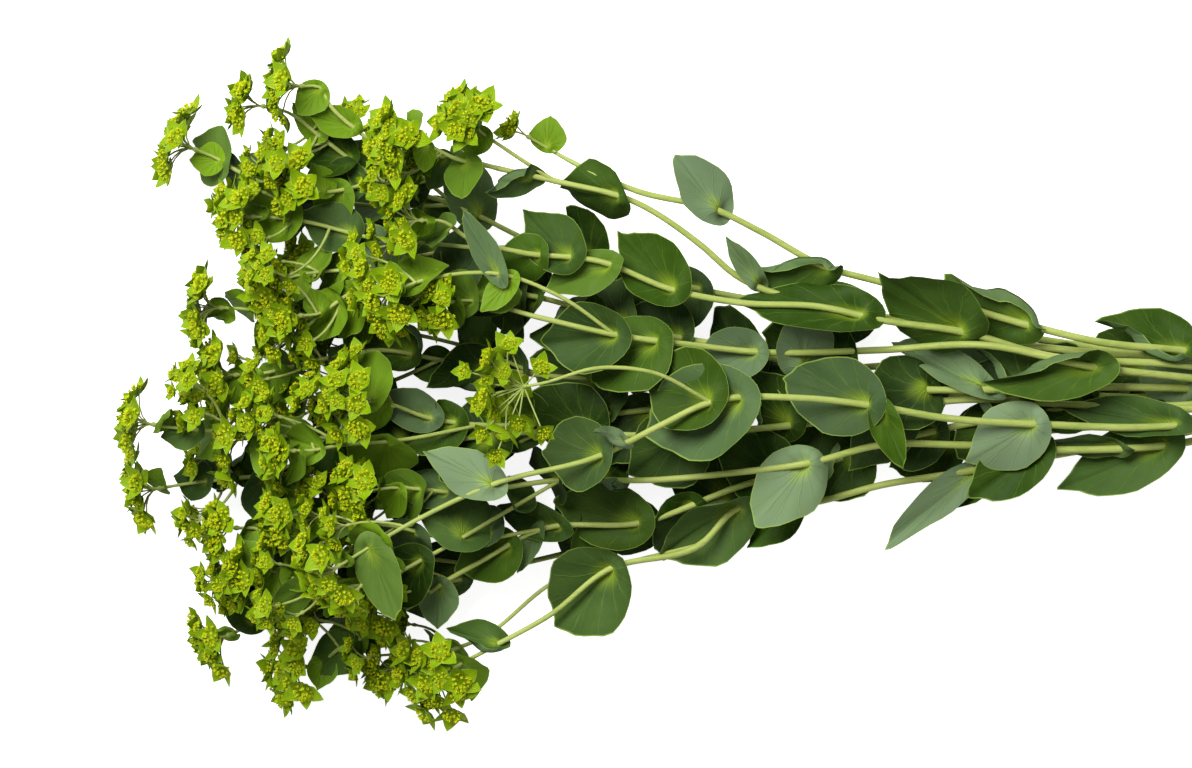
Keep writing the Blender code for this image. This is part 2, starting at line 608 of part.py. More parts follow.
def filling_leaves():
    """Leaves inside the bunch, along the stems that lie under the others."""
    rng = random.Random(SPREAD_SEED)
    rows = []
    for name in FILLED:
        points = STEMS[name][1]
        listed = [pierce for stem, pierce, *_ in LEAVES if stem == name]
        side = 1
        for (x0, y0, _), (x1, y1, _) in zip(points, points[1:]):
            count = max(1, round((x0 - x1) / LEAF_EVERY))
            for k in range(count):
                share = (k + 0.5) / count
                x, y = x0 + (x1 - x0) * share, y0 + (y1 - y0) * share
                side = -side
                turn = math.radians(rng.uniform(12, 55)) * side
                length = rng.uniform(62, 84) * float(np.interp(x, *zip(*FILL_SIZES)))
                drop = rng.uniform(-6, 12)
                width, roll = rng.uniform(0.75, 0.95), rng.uniform(-18, 18)
                if any(math.hypot(x - a, y - b) < LISTED_NEAR for a, b in listed):
                    continue
                heading = math.atan2(y1 - y0, x1 - x0) + turn
                tip = (x + length * math.cos(heading), y + length * math.sin(heading))
                if inside_bunch(*tip):
                    rows.append((name, (x, y), tip, drop, width, roll, LEAF_CURL))
    return rows


def collar_leaves():
    """A small leaf just below every second one of the umbels that have no leaf listed near."""
    rng = random.Random(SPREAD_SEED + 1)
    rows = []
    for carrier, (x, y, _), azimuth, _, _, _ in UMBELS.values():
        turn = math.radians(azimuth)
        back = Vector((x - COLLAR_BACK * math.cos(turn), y + COLLAR_BACK * math.sin(turn)))
        lean = turn + math.radians(rng.choice((-1, 1)) * rng.uniform(40, 85))
        length = 2 * COLLAR_LENGTH * rng.uniform(0.85, 1.15)
        tip = back + length * Vector((math.cos(lean), -math.sin(lean)))
        drop, width, roll = rng.uniform(-5, 6), rng.uniform(0.75, 0.95), rng.uniform(-30, 30)
        if any(math.hypot(back.x - a, back.y - b) < COLLAR_NEAR for _, (a, b), *_ in LEAVES):
            continue
        rows.append((carrier, tuple(back), tuple(tip), drop, width, roll, LEAF_CURL))
    return rows[::2]


def basis(direction):
    """A frame whose Z runs along the direction."""
    return direction.to_track_quat("Z", "Y").to_matrix()


def ray_ends(face, radius, count, spin, rng):
    """Where the rays of an umbel end, from its hub: up to three inside, the rest round the edge."""
    if count < 5:
        inner = 0
    elif count < 9:
        inner = 1
    else:
        inner = 3
    outer = count - inner
    frame = basis(face)
    ends = []
    for number in range(inner):
        turn = spin + 2 * math.pi * number / inner
        out = 0.0 if inner == 1 else 0.42 * (radius - RIM_INSET)
        ends.append(Vector((out * math.cos(turn), out * math.sin(turn), UMBEL_REACH + 2)))
    for number in range(outer):
        turn = spin + 2 * math.pi * (number + rng.uniform(-0.12, 0.12)) / outer
        out = (radius - RIM_INSET) * rng.uniform(0.92, 1.05)
        rise = UMBEL_REACH * rng.uniform(0.85, 1.0)
        ends.append(Vector((out * math.cos(turn), out * math.sin(turn), rise)))
    return [frame @ end for end in ends]


def star_shape(place, direction, spin, size):
    """One umbellule: five pointed bracts under a dome of florets."""
    shape = bmesh.new()
    bmesh.ops.create_cone(shape, cap_ends=True, segments=10, radius1=STAR_RADIUS, radius2=0.0,
                          depth=STAR_DOME)
    bmesh.ops.remove_doubles(shape, verts=shape.verts, dist=1e-4)
    rim = [v for v in shape.verts if v.co.xy.length > STAR_NOTCH]
    for number, vertex in enumerate(sorted(rim, key=lambda v: math.atan2(v.co.y, v.co.x))):
        if number % 2:
            vertex.co.xy *= STAR_NOTCH / STAR_RADIUS
    turn = Matrix.Rotation(spin, 3, "Z")
    whole = (basis(direction) @ turn * size).to_4x4()
    bmesh.ops.transform(shape, matrix=Matrix.Translation(place) @ whole, verts=shape.verts)
    return shape


def ray_shape(start, end):
    """A thin ray with three sides."""
    shape = bmesh.new()
    run = end - start
    bmesh.ops.create_cone(shape, cap_ends=True, segments=3, radius1=RAY_WIDTH / 2,
                          radius2=RAY_WIDTH / 2, depth=run.length)
    place = Matrix.Translation((start + end) / 2) @ basis(run.normalized()).to_4x4()
    bmesh.ops.transform(shape, matrix=place, verts=shape.verts)
    return shape


def hub_shape(start, face):
    """The swollen hub that the rays spring from."""
    shape = bmesh.new()
    bmesh.ops.create_cone(shape, cap_ends=True, segments=5, radius1=0.6 * HUB_WIDTH / 2,
                          radius2=HUB_WIDTH / 2, depth=HUB_LENGTH)
    place = Matrix.Translation(start + face * HUB_LENGTH / 2) @ basis(face).to_4x4()
    bmesh.ops.transform(shape, matrix=place, verts=shape.verts)
    return shape


def plain_faces(shape):
    shape.verts.index_update()
    return [v.co.copy() for v in shape.verts], [[v.index for v in f.verts] for f in shape.faces]


def fuse(name, base, pieces, material, collection):
    """One closed solid from a base and the pieces that sink into it."""
    modifier = base.modifiers.new("union", "BOOLEAN")
    modifier.operation = "UNION"
    modifier.solver = "MANIFOLD"
    modifier.operand_type = "COLLECTION"
    modifier.collection = pieces
    bpy.context.view_layer.update()
    mesh = bpy.data.meshes.new_from_object(base.evaluated_get(bpy.context.evaluated_depsgraph_get()))
    for piece in list(pieces.objects):
        bpy.data.objects.remove(piece)
    bpy.data.collections.remove(pieces)
    bpy.data.objects.remove(base)
    mesh.name = name
    mesh.materials.clear()
    mesh.materials.append(material)
    mesh.shade_smooth()
    mesh.set_sharp_from_angle(angle=math.radians(40))
    return object_of(name, mesh, collection)


def scratch_collection(name):
    made = bpy.data.collections.new(name)
    bpy.context.scene.collection.children.link(made)
    return made


def material_of(name, colour, roughness):
    material = bpy.data.materials.new(name)
    material.use_nodes = True
    shader = material.node_tree.nodes["Principled BSDF"]
    shader.inputs["Base Color"].default_value = (*colour, 1)
    shader.inputs["Roughness"].default_value = roughness
    shader.inputs["Metallic"].default_value = 0.0
    return material


def build_stems(routes, heights, placed):
    """The bare stems and branches of each node, waiting for their leaves."""
    waiting = {}
    for name, route in routes.items():
        points = route.points(heights)
        work = waiting.get(route.node)
        if work is None:
            work = waiting[route.node] = (scratch_collection(route.node + "_pieces"), [])
        made = tube(name + "_tube", points, route.width, work[0])
        placed.add(route.node, in_millimetres(made.data), mesh_faces(made.data))
        work[1].append(made)
    return waiting


def place_ray(name, placed, spring, end, face, number, swell):
    """Where a ray's umbellule stands clear, and its direction, or None where it has no room."""
    for turn in RAY_TURNS:
        for size in RAY_SIZES:
            reach = Matrix.Rotation(math.radians(turn), 3, face) @ end * size
            place = spring + reach
            direction = (reach.normalized() + 0.5 * face).normalized()
            star = plain_faces(star_shape(place, direction, number, STAR_TEST_SIZE * swell))
            ray = plain_faces(ray_shape(spring, place))
            if placed.is_clear(name, *star) and placed.is_clear(name, *ray):
                placed.add(name, *star)
                placed.add(name, *ray)
                return place, direction
    return None


def build_umbel(name, row, routes, heights, placed):
    """One umbel's hub, seated a small gap past the stem that carries it, and its rays and stars."""
    carrier, _, azimuth, lift, radius, count = row
    face = facing(azimuth, lift)
    start = routes[carrier].points(heights)[-1] + SEAT_GAP * face
    rng = random.Random(SPREAD_SEED + int(name[-2:]))
    pieces = scratch_collection(name + "_pieces")
    hub_mesh = shape_mesh(hub_shape(start, face), name + "_hub")
    hub = object_of(name + "_hub", hub_mesh, bpy.context.scene.collection)
    placed.add(name, in_millimetres(hub_mesh), mesh_faces(hub_mesh))
    spring = start + face * HUB_LENGTH * 0.5
    spin = rng.uniform(0, 2 * math.pi)
    swell = 1.0 if radius > SMALL_UMBEL else SMALL_STAR_SIZE
    for number, end in enumerate(ray_ends(face, radius, count, spin, rng)):
        found = place_ray(name, placed, spring, end, face, number, swell)
        if found is None:
            print("no room for a ray of", name)
            continue
        place, direction = found
        star = star_shape(place, direction, number, swell)
        object_of(f"{name}_star_{number}", shape_mesh(star, name), pieces)
        object_of(f"{name}_ray_{number}", shape_mesh(ray_shape(spring, place), name), pieces)
    return hub, pieces


def build_band(material, collection):
    """The band round the stems, with a flat facet at its foot."""
    rings = []
    for radius, width in ((BAND_OUTER, BAND_WIDTH), (BAND_INNER, BAND_WIDTH + 2)):
        shape = bmesh.new()
        bmesh.ops.create_cone(shape, cap_ends=True, segments=BAND_SIDES, radius1=radius,
                              radius2=radius, depth=width)
        turn = Matrix.Rotation(math.pi / 2, 4, "Y") @ Matrix.Rotation(math.pi / BAND_SIDES, 4, "Z")
        place = Matrix.Translation((*layout(TIE_X, TIE_Y), TIE_HEIGHT))
        rings.append(shape_mesh(shape, "tie_band", place @ turn))
    band = object_of("tie_band", rings[0], collection)
    cutter = object_of("tie_band_bore", rings[1], bpy.data.collections["cutters"])
    cutter.hide_render = True
    cutter.display_type = "WIRE"
    bore = band.modifiers.new("bore", "BOOLEAN")
    bore.operation = "DIFFERENCE"
    bore.object = cutter
    band.data.materials.append(material)
    return band


def main():
    for old in list(bpy.data.objects):
        bpy.data.objects.remove(old)
    bunch = scratch_collection("bupleurum_bunch")
    scratch_collection("cutters")
    green = material_of("stem_and_leaf_green", (0.085, 0.19, 0.055), 0.55)
    lime = material_of("umbel_yellow_green", (0.36, 0.43, 0.03), 0.6)
    band_colour = material_of("band_tan", (0.55, 0.42, 0.24), 0.7)

    routes, levels = lay_routes()
    short = ease_apart(routes, levels)
    heights = levels.heights
    print(f"stems eased apart, {short:.2f} mm short")
    placed = Placed()
    band = build_band(band_colour, bunch)
    placed.add("tie_band", in_millimetres(band.data), mesh_faces(band.data))
    waiting = build_stems(routes, heights, placed)

    umbels = {name: build_umbel(name, row, routes, heights, placed) for name, row in UMBELS.items()}

    kept = 0
    rows = LEAVES + collar_leaves() + filling_leaves()
    for number, (carrier, pierce, tip, drop, width, roll, curl) in enumerate(rows):
        route = routes[carrier]
        root = point_on(route, heights, *pierce)
        shift = root.xy - Vector(layout(*pierce))
        end = Vector((*(Vector(layout(*tip)) + shift), root.z - drop))
        small = (end - root).length < COLLAR_LENGTH * 1.2
        sides = COLLAR_POINTS if small else LEAF_POINTS
        shape = place_leaf(placed, route.node, root, end, width, roll, curl, sides)
        if shape is None:
            if number < len(LEAVES):
                print("no room for leaf", carrier, pierce)
            continue
        kept += 1
        thick_leaf(shape, BLADE, waiting[route.node][0], f"leaf_{number:03d}")
    print(f"{kept} leaves of {len(rows)}, {len(LEAVES)} of them listed")

    for node, (pieces, tubes) in waiting.items():
        base = tubes[0]
        pieces.objects.unlink(base)
        bpy.context.scene.collection.objects.link(base)
        fuse(node, base, pieces, green, bunch)
    for name, (hub, pieces) in umbels.items():
        fuse(name, hub, pieces, lime, bunch)
    total = 0
    for made in bunch.objects:
        made.data.calc_loop_triangles()
        total += len(made.data.loop_triangles)
    print(f"{len(bunch.objects)} nodes, about {total} triangles")


main()
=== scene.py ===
# %% [markdown]
# # A bunch of bupleurum, laid down
#
# A florist's bunch of bupleurum lies on its side. Leafy stems are gathered by a band at the
# right, and their yellow-green flower heads fan out at the left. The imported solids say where
# every stem, leaf and umbel is. This script dresses each of them in finer meshes: round stalks,
# thin cupped blades with veins, and umbels of tiny florets in pointed bracts.

# %% The frame
import math
import random

import bmesh
import bpy
import numpy as np
from mathutils import Matrix, Vector
from mathutils.bvhtree import BVHTree
from mathutils.kdtree import KDTree


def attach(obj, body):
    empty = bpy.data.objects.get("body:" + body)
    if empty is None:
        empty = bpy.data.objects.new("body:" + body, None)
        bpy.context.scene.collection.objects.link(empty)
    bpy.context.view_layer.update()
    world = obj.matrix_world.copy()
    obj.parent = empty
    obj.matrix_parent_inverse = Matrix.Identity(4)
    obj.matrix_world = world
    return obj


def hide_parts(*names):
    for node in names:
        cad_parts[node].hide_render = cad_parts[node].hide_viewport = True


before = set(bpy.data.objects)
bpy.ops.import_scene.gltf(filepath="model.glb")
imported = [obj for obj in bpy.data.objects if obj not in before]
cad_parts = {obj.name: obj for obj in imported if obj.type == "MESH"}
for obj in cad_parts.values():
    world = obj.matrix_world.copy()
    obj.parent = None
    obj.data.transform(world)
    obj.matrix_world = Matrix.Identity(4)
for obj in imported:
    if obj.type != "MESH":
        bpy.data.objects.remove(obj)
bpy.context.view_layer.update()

print("solids:", len(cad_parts))

# %% [markdown]
# ## Where everything lies
#
# The bunch was laid out on a view from straight above, in steps of half a millimetre: x runs
# towards the cut ends and y towards the lower side. Each point of a stem also has a height. The
# same lists made the solids, so what is built from them here lies where the solids lie. Working
# in millimetres keeps the numbers easy to read; they are turned to metres once, at the end.

# %% Sizes, in millimetres
METRES = 0.001
STEP = 0.5
MIDDLE = (771, 384)
print("one step of the layout is", STEP, "mm")

# %% The stems
# Each stem: its place in the tie (row, column), then points (x, y, height in mm).
STEMS = {
    "stem_01": ((1, 1), [(1192, 352, 36), (1100, 342, 41), (1028, 325, 43), (975, 310, 44),
                (880, 282, 47), (825, 267, 51), (760, 232, 56), (717, 211, 60), (637, 192, 64),
                (590, 172, 62)]),
    "stem_02": ((0, 1.5), [(1192, 358, 24), (1090, 352, 30), (980, 338, 36), (860, 312, 44),
                (735, 275, 52), (700, 245, 56), (633, 202, 62), (555, 182, 66), (500, 170, 70)]),
    "stem_03": ((2, 0.5), [(1192, 366, 30), (1045, 355, 40), (963, 332, 48), (880, 320, 52),
                (820, 307, 54), (740, 303, 56), (672, 290, 58), (600, 262, 62), (520, 253, 66),
                (470, 240, 72)]),
    "stem_04": ((1, 0), [(1192, 378, 34), (1093, 367, 42), (982, 345, 46), (880, 350, 42),
                (757, 352, 48), (690, 345, 56), (615, 335, 64), (540, 318, 68)]),
    "stem_05": ((0, 0.5), [(1192, 388, 26), (1095, 387, 34), (965, 390, 38), (892, 388, 38),
                (790, 362, 38), (720, 345, 38), (640, 330, 40), (550, 300, 44), (460, 285, 50),
                (390, 272, 56)]),
    "stem_06": ((2, -0.5), [(1192, 424, 36), (1035, 424, 48), (945, 418, 54), (868, 405, 60),
                (800, 398, 66), (710, 402, 71), (660, 425, 76), (600, 455, 81), (495, 483, 86),
                (425, 515, 90)]),
    "stem_07": ((0, -1.5), [(1192, 442, 28), (1075, 450, 38), (960, 445, 38), (880, 445, 46),
                (808, 463, 54), (740, 472, 50), (650, 480, 48), (560, 480, 50), (465, 492, 54)]),
    "stem_08": ((-1, -1), [(1192, 432, 16), (1060, 455, 20), (950, 475, 22), (890, 484, 28),
                (800, 505, 34), (740, 507, 38), (700, 545, 42), (607, 570, 50), (550, 615, 46),
                (500, 643, 46)]),
    "stem_09": ((0, -0.5), [(1192, 405, 24), (1050, 412, 22), (900, 440, 24), (820, 465, 28),
                (745, 485, 34), (640, 523, 40), (540, 530, 38), (480, 562, 40), (440, 585, 42)]),
    "stem_10": ((-1, 0), [(1192, 398, 14), (1050, 395, 16), (900, 395, 20), (780, 400, 26),
                (700, 405, 30), (600, 415, 36), (480, 425, 50), (430, 418, 56)]),
    "stem_11": ((1, -1), [(1192, 409, 30), (1080, 405, 32), (960, 400, 32), (840, 420, 34),
                (740, 430, 38), (640, 435, 42), (540, 432, 46), (440, 440, 50), (370, 440, 54),
                (310, 437, 58)]),
    "stem_12": ((-2, 0.5), [(1192, 362, 8), (1050, 340, 10), (900, 318, 12), (760, 300, 16),
                (640, 275, 22), (540, 245, 30), (455, 205, 40), (380, 180, 48), (322, 138, 54)]),
    "stem_13": ((-2, -0.5), [(1192, 420, 6), (1060, 430, 8), (920, 450, 9), (800, 480, 11),
                (700, 510, 13), (600, 545, 15), (500, 570, 18), (420, 590, 22), (350, 600, 26),
                (287, 606, 28)]),
    "stem_14": ((-1, 1), [(1192, 375, 18), (1060, 370, 20), (900, 365, 22), (780, 375, 24),
                (660, 380, 26), (540, 375, 30), (440, 360, 36), (380, 350, 42), (310, 362, 46)]),
}
print("stems:", len(STEMS))

# %% The branches
# Each branch: its stem, the stem point (x) it leaves from, then its own points.
BRANCHES = {
    "stem_02b": ("stem_02", 555, [(508, 152, 74)]),
    "stem_02c": ("stem_02", 500, [(455, 160, 80)]),
    "stem_03b": ("stem_03", 520, [(440, 245, 64), (370, 238, 60), (305, 222, 62)]),
    "stem_04b": ("stem_04", 615, [(560, 297, 74), (500, 275, 80), (440, 278, 86)]),
    "stem_05b": ("stem_05", 460, [(380, 310, 44), (300, 318, 44)]),
    "stem_05c": ("stem_05", 390, [(345, 298, 66)]),
    "stem_06b": ("stem_06", 710, [(650, 372, 84), (600, 368, 88)]),
    "stem_07b": ("stem_07", 560, [(500, 515, 50), (440, 550, 54), (360, 585, 58), (310, 585, 58)]),
    "stem_08b": ("stem_08", 700, [(640, 560, 30), (560, 580, 24), (480, 640, 22)]),
    "stem_09b": ("stem_09", 540, [(460, 540, 50), (390, 525, 58), (345, 520, 62)]),
    "stem_10b": ("stem_10", 480, [(400, 440, 68), (340, 445, 74)]),
    "stem_11b": ("stem_11", 440, [(330, 470, 40), (240, 478, 36)]),
    "stem_11c": ("stem_11", 310, [(230, 432, 66)]),
    "stem_12b": ("stem_12", 455, [(400, 160, 56), (360, 133, 62), (330, 105, 66)]),
    "stem_12c": ("stem_12", 380, [(345, 190, 56)]),
    "stem_12d": ("stem_12", 455, [(370, 205, 34), (300, 195, 30), (236, 170, 28)]),
    "stem_13b": ("stem_13", 420, [(370, 635, 22), (335, 652, 22)]),
    "stem_13c": ("stem_13", 350, [(300, 560, 36), (270, 535, 40)]),
    "stem_14b": ("stem_14", 440, [(380, 385, 30), (340, 395, 28)]),
    "stem_14c": ("stem_14", 540, [(460, 345, 30), (390, 330, 30)]),
    "stem_11d": ("stem_11", 540, [(460, 470, 28), (380, 490, 24)]),
    "stem_13d": ("stem_13", 500, [(430, 560, 24), (380, 555, 20)]),
    "stem_12e": ("stem_12", 540, [(450, 250, 20), (380, 260, 18)]),
}
print("branches:", len(BRANCHES))

# %% The umbels
# Each umbel: what carries it, its hub (x, y, height), azimuth and lift of its face, radius, rays.
UMBELS = {
    "umbel_01": ("stem_12d", (197, 150, 26), 159, 5, 22, 6),
    "umbel_02": ("stem_12b", (307, 88, 68), 178, 10, 21, 5),
    "umbel_03": ("stem_12", (268, 108, 56), 170, 8, 16, 4),
    "umbel_04": ("stem_12c", (312, 190, 64), 165, 40, 18, 4),
    "umbel_05": ("stem_03b", (258, 218, 66), 180, 25, 20, 5),
    "umbel_06": ("stem_02c", (412, 145, 88), 182, 45, 19, 5),
    "umbel_07": ("stem_02", (440, 158, 62), 180, 30, 11, 4),
    "umbel_08": ("stem_02b", (475, 127, 82), 135, 50, 17, 5),
    "umbel_09": ("stem_03", (427, 222, 84), 180, 20, 20, 4),
    "umbel_10": ("stem_05", (284, 280, 64), 195, 15, 22, 6),
    "umbel_11": ("stem_05b", (225, 308, 44), 178, 5, 24, 6),
    "umbel_12": ("stem_04b", (398, 292, 96), 205, 40, 22, 6),
    "umbel_13": ("stem_05c", (306, 316, 76), 185, 30, 12, 4),
    "umbel_14": ("stem_04", (455, 302, 76), 185, 35, 17, 4),
    "umbel_15": ("stem_10", (368, 402, 76), 182, 35, 23, 6),
    "umbel_16": ("stem_11", (250, 438, 56), 183, 5, 25, 6),
    "umbel_17": ("stem_11b", (162, 488, 34), 190, 5, 22, 6),
    "umbel_18": ("stem_11c", (160, 425, 70), 172, 5, 20, 5),
    "umbel_19": ("stem_07", (374, 490, 72), 190, 35, 19, 5),
    "umbel_20": ("stem_10b", (300, 450, 84), 180, 25, 13, 4),
    "umbel_21": ("stem_13c", (240, 528, 46), 180, 20, 15, 4),
    "umbel_22": ("stem_06b", (528, 386, 92), 190, -22, 27, 9),
    "umbel_23": ("stem_01", (532, 140, 62), 150, 20, 8, 3),
    "umbel_24": ("stem_13", (230, 635, 24), 205, 15, 20, 5),
    "umbel_25": ("stem_13b", (306, 668, 22), 190, 35, 22, 6),
    "umbel_26": ("stem_08", (447, 672, 48), 210, 45, 25, 7),
    "umbel_27": ("stem_06", (345, 562, 92), 212, 20, 25, 7),
    "umbel_28": ("stem_07b", (262, 572, 56), 185, 20, 15, 4),
    "umbel_29": ("stem_09", (400, 612, 42), 205, 15, 14, 4),
    "umbel_30": ("stem_14", (240, 375, 48), 182, 10, 22, 6),
    "umbel_31": ("stem_14b", (300, 398, 26), 184, 20, 18, 4),
    "umbel_32": ("stem_09b", (300, 515, 68), 190, 25, 16, 4),
    "umbel_34": ("stem_14c", (345, 326, 28), 182, 12, 20, 4),
    "umbel_35": ("stem_11d", (315, 500, 22), 186, 12, 20, 4),
    "umbel_36": ("stem_13d", (330, 552, 18), 178, 12, 20, 4),
    "umbel_37": ("stem_12e", (320, 258, 20), 176, 12, 20, 4),
    "umbel_33": ("stem_08b", (400, 668, 20), 200, 15, 15, 4),
}
print("umbels:", len(UMBELS))

# %% The leaves
# Each leaf: its stem, where the stem pierces it, its tip, how far the tip drops (mm), its width
# as a share of its length, its roll in degrees, how much its upper half curls, and its tone.
LEAVES = [
    ("stem_01", (1185, 350), (1100, 322), 6, 0.62, 25, 0.25, "dark"),
    ("stem_01", (1028, 325), (950, 276), 6, 0.60, -15, 0.30, "dark"),
    ("stem_01", (825, 267), (750, 268), 4, 0.62, -40, 0.25, "dark"),
    ("stem_01", (717, 211), (676, 156), -6, 0.62, 20, 0.15, "soft"),
    ("stem_02", (618, 195), (560, 190), 14, 1.00, 0, 0.10, "dark"),
    ("stem_02", (535, 175), (480, 183), -4, 0.60, -45, 0.30, "dark"),
    ("stem_02", (758, 285), (726, 243), 4, 0.34, 30, 0.20, "soft"),
    ("stem_12", (480, 215), (455, 148), -10, 0.60, 10, 0.15, "grey"),
    ("stem_03", (963, 332), (882, 272), -11, 0.78, 5, 0.15, "dark"),
    ("stem_03", (860, 314), (742, 298), 8, 0.42, 35, 0.20, "dark"),
    ("stem_03", (672, 290), (622, 237), 12, 0.70, 0, 0.20, "dark"),
    ("stem_03", (610, 266), (547, 292), 8, 0.55, 20, 0.20, "mid"),
    ("stem_03", (570, 258), (527, 214), 10, 0.75, 0, 0.15, "dark"),
    ("stem_03", (540, 256), (497, 262), 12, 0.80, 15, 0.15, "dark"),
    ("stem_04", (1093, 367), (980, 378), 6, 0.40, 35, 0.35, "dark"),
    ("stem_04", (757, 352), (697, 362), 2, 0.75, 5, 0.20, "grey"),
    ("stem_04", (615, 335), (546, 342), 14, 0.80, 0, 0.15, "teal"),
    ("stem_05", (1190, 388), (1139, 374), -4, 0.95, 5, 0.10, "pale"),
    ("stem_05", (985, 392), (895, 342), -6, 0.30, 25, 0.15, "soft"),
    ("stem_05", (805, 366), (800, 305), -16, 0.78, 10, 0.10, "soft"),
    ("stem_06", (1175, 424), (1062, 408), 8, 0.30, 30, 0.20, "dark"),
    ("stem_06", (1035, 424), (970, 462), 6, 0.75, 0, 0.10, "pale"),
    ("stem_06", (868, 405), (788, 380), 14, 0.74, 0, 0.12, "teal"),
    ("stem_06", (880, 407), (902, 466), 6, 0.42, 10, 0.20, "dark"),
    ("stem_06", (710, 402), (650, 368), 15, 0.95, 0, 0.12, "dark"),
    ("stem_06", (740, 400), (656, 432), 22, 0.80, 10, 0.15, "grey"),
    ("stem_06", (600, 455), (546, 452), 15, 1.00, 0, 0.12, "teal"),
    ("stem_06", (625, 443), (594, 432), -6, 0.55, 50, 0.25, "pale"),
    ("stem_06", (495, 483), (429, 450), -2, 0.55, 10, 0.15, "pale"),
    ("stem_07", (1165, 443), (1068, 490), 8, 0.52, 15, 0.20, "dark"),
    ("stem_07", (1120, 446), (1045, 436), 4, 0.28, -30, 0.20, "dark"),
    ("stem_07", (1040, 450), (975, 498), 8, 0.62, 10, 0.20, "dark"),
    ("stem_07", (808, 463), (757, 524), -4, 0.72, 5, 0.10, "pale"),
    ("stem_08", (980, 469), (887, 547), -8, 0.24, 20, 0.15, "pale"),
    ("stem_08", (1000, 466), (938, 508), 8, 0.60, 10, 0.20, "dark"),
    ("stem_08", (740, 507), (660, 545), 12, 0.66, 5, 0.20, "dark"),
    ("stem_08", (795, 505), (752, 545), 6, 0.60, 10, 0.20, "dark"),
    ("stem_08", (612, 569), (556, 622), 15, 0.92, 0, 0.12, "dark"),
    ("stem_08", (500, 643), (450, 630), 4, 0.60, 10, 0.30, "dark"),
    ("stem_09", (640, 523), (562, 505), 12, 0.66, 5, 0.20, "dark"),
    ("stem_09", (540, 530), (518, 572), 2, 0.36, 10, 0.15, "grey"),
    ("stem_09", (510, 546), (460, 572), 12, 0.80, 0, 0.15, "dark"),
    ("stem_09", (560, 529), (498, 508), 10, 0.45, 20, 0.20, "dark"),
    ("stem_09", (440, 585), (437, 627), 2, 0.80, 0, 0.15, "grey"),
    ("stem_10", (430, 418), (374, 396), -2, 0.58, 10, 0.15, "grey"),
    ("stem_12b", (355, 128), (314, 118), 4, 0.62, 10, 0.20, "fresh"),
    ("stem_12", (320, 136), (294, 102), 4, 0.50, 20, 0.20, "fresh"),
    ("stem_12", (392, 184), (352, 142), 8, 0.80, 0, 0.15, "dark"),
    ("stem_12c", (362, 186), (326, 176), 8, 0.95, 0, 0.15, "dark"),
    ("stem_12d", (275, 186), (240, 154), 2, 0.65, 5, 0.15, "grey"),
    ("stem_12d", (217, 160), (187, 158), 2, 1.00, 0, 0.15, "lime"),
    ("stem_03b", (352, 234), (305, 215), 8, 0.80, 5, 0.15, "dark"),
    ("stem_05", (400, 274), (345, 226), 4, 0.60, 10, 0.15, "grey"),
    ("stem_14", (448, 361), (413, 372), 6, 0.85, 5, 0.15, "dark"),
    ("stem_13b", (350, 645), (310, 674), 2, 0.78, 5, 0.20, "dark"),
    ("stem_13", (287, 606), (238, 612), 4, 0.75, 5, 0.20, "dark"),
    ("stem_07b", (400, 568), (372, 560), 4, 0.60, 10, 0.20, "fresh"),
    ("stem_06", (372, 545), (397, 612), 10, 0.50, 10, 0.20, "mid"),
    ("stem_11b", (205, 480), (172, 474), 4, 1.00, 5, 0.15, "dark"),
    ("stem_11c", (200, 428), (166, 436), 4, 0.85, 10, 0.15, "dark"),
    ("stem_11b", (300, 474), (262, 498), 4, 0.50, 10, 0.20, "fresh"),
    ("stem_11", (310, 437), (268, 425), 4, 0.60, 10, 0.20, "fresh"),
    ("stem_04b", (512, 280), (484, 312), 2, 0.55, 10, 0.20, "fresh"),
    ("stem_04b", (500, 275), (466, 212), -2, 0.32, 10, 0.15, "grey"),
]
print("leaves listed:", len(LEAVES))

# %% [markdown]
# ## Heights that keep the stems apart
#
# The heights in the lists are first guesses. They are eased up and down until no two stems run
# through each other, as stems pushed together in a hand would slide apart. A physics simulation
# could do the same, but it is slower, and a few hundred rounds of small pushes always end alike.

# %% Places, widths and directions
# Widths of a main stem at layout x, from its cut end to its head.
STEM_WIDTHS = ((1420, 4.8), (1000, 4.4), (700, 3.8), (450, 2.8), (100, 2.2))


def layout(x, y):
    """A layout point in millimetres from the middle of the bunch."""
    return (x - MIDDLE[0]) * STEP, (MIDDLE[1] - y) * STEP


def width_at(x):
    """The width of a main stem, which thins from its cut end to its head."""
    places = [place for place, _ in STEM_WIDTHS][::-1]
    widths = [width for _, width in STEM_WIDTHS][::-1]
    return float(np.interp(x, places, widths))


def facing(azimuth, lift):
    turn, rise = math.radians(azimuth), math.radians(lift)
    return Vector((math.cos(turn) * math.cos(rise), math.sin(turn) * math.cos(rise), math.sin(rise)))


# %% Stems and branches as routes
class Route:
    """A stem or a branch: points whose heights can be eased up or down together or held."""

    def __init__(self, node, branch):
        self.node = node
        self.branch = branch
        self.flat = []
        self.level = []
        self.offset = []
        self.width = []

    def add(self, x, y, level, width, offset=0.0):
        self.flat.append((x, y))
        self.level.append(level)
        self.offset.append(offset)
        self.width.append(width)

    def points(self, levels):
        return [
            Vector((x, y, levels[level] + offset))
            for (x, y), level, offset in zip(self.flat, self.level, self.offset)
        ]


class Levels:
    """The heights that the routes share, in millimetres."""

    def __init__(self):
        self.heights = []
        self.held = []

    def new(self, height, held=False):
        self.heights.append(float(height))
        self.held.append(held)
        return len(self.heights) - 1


# %% Laying the routes
BRANCH_WIDTH = 2.4
BRANCH_END_WIDTH = 1.8
NECK = 7.0

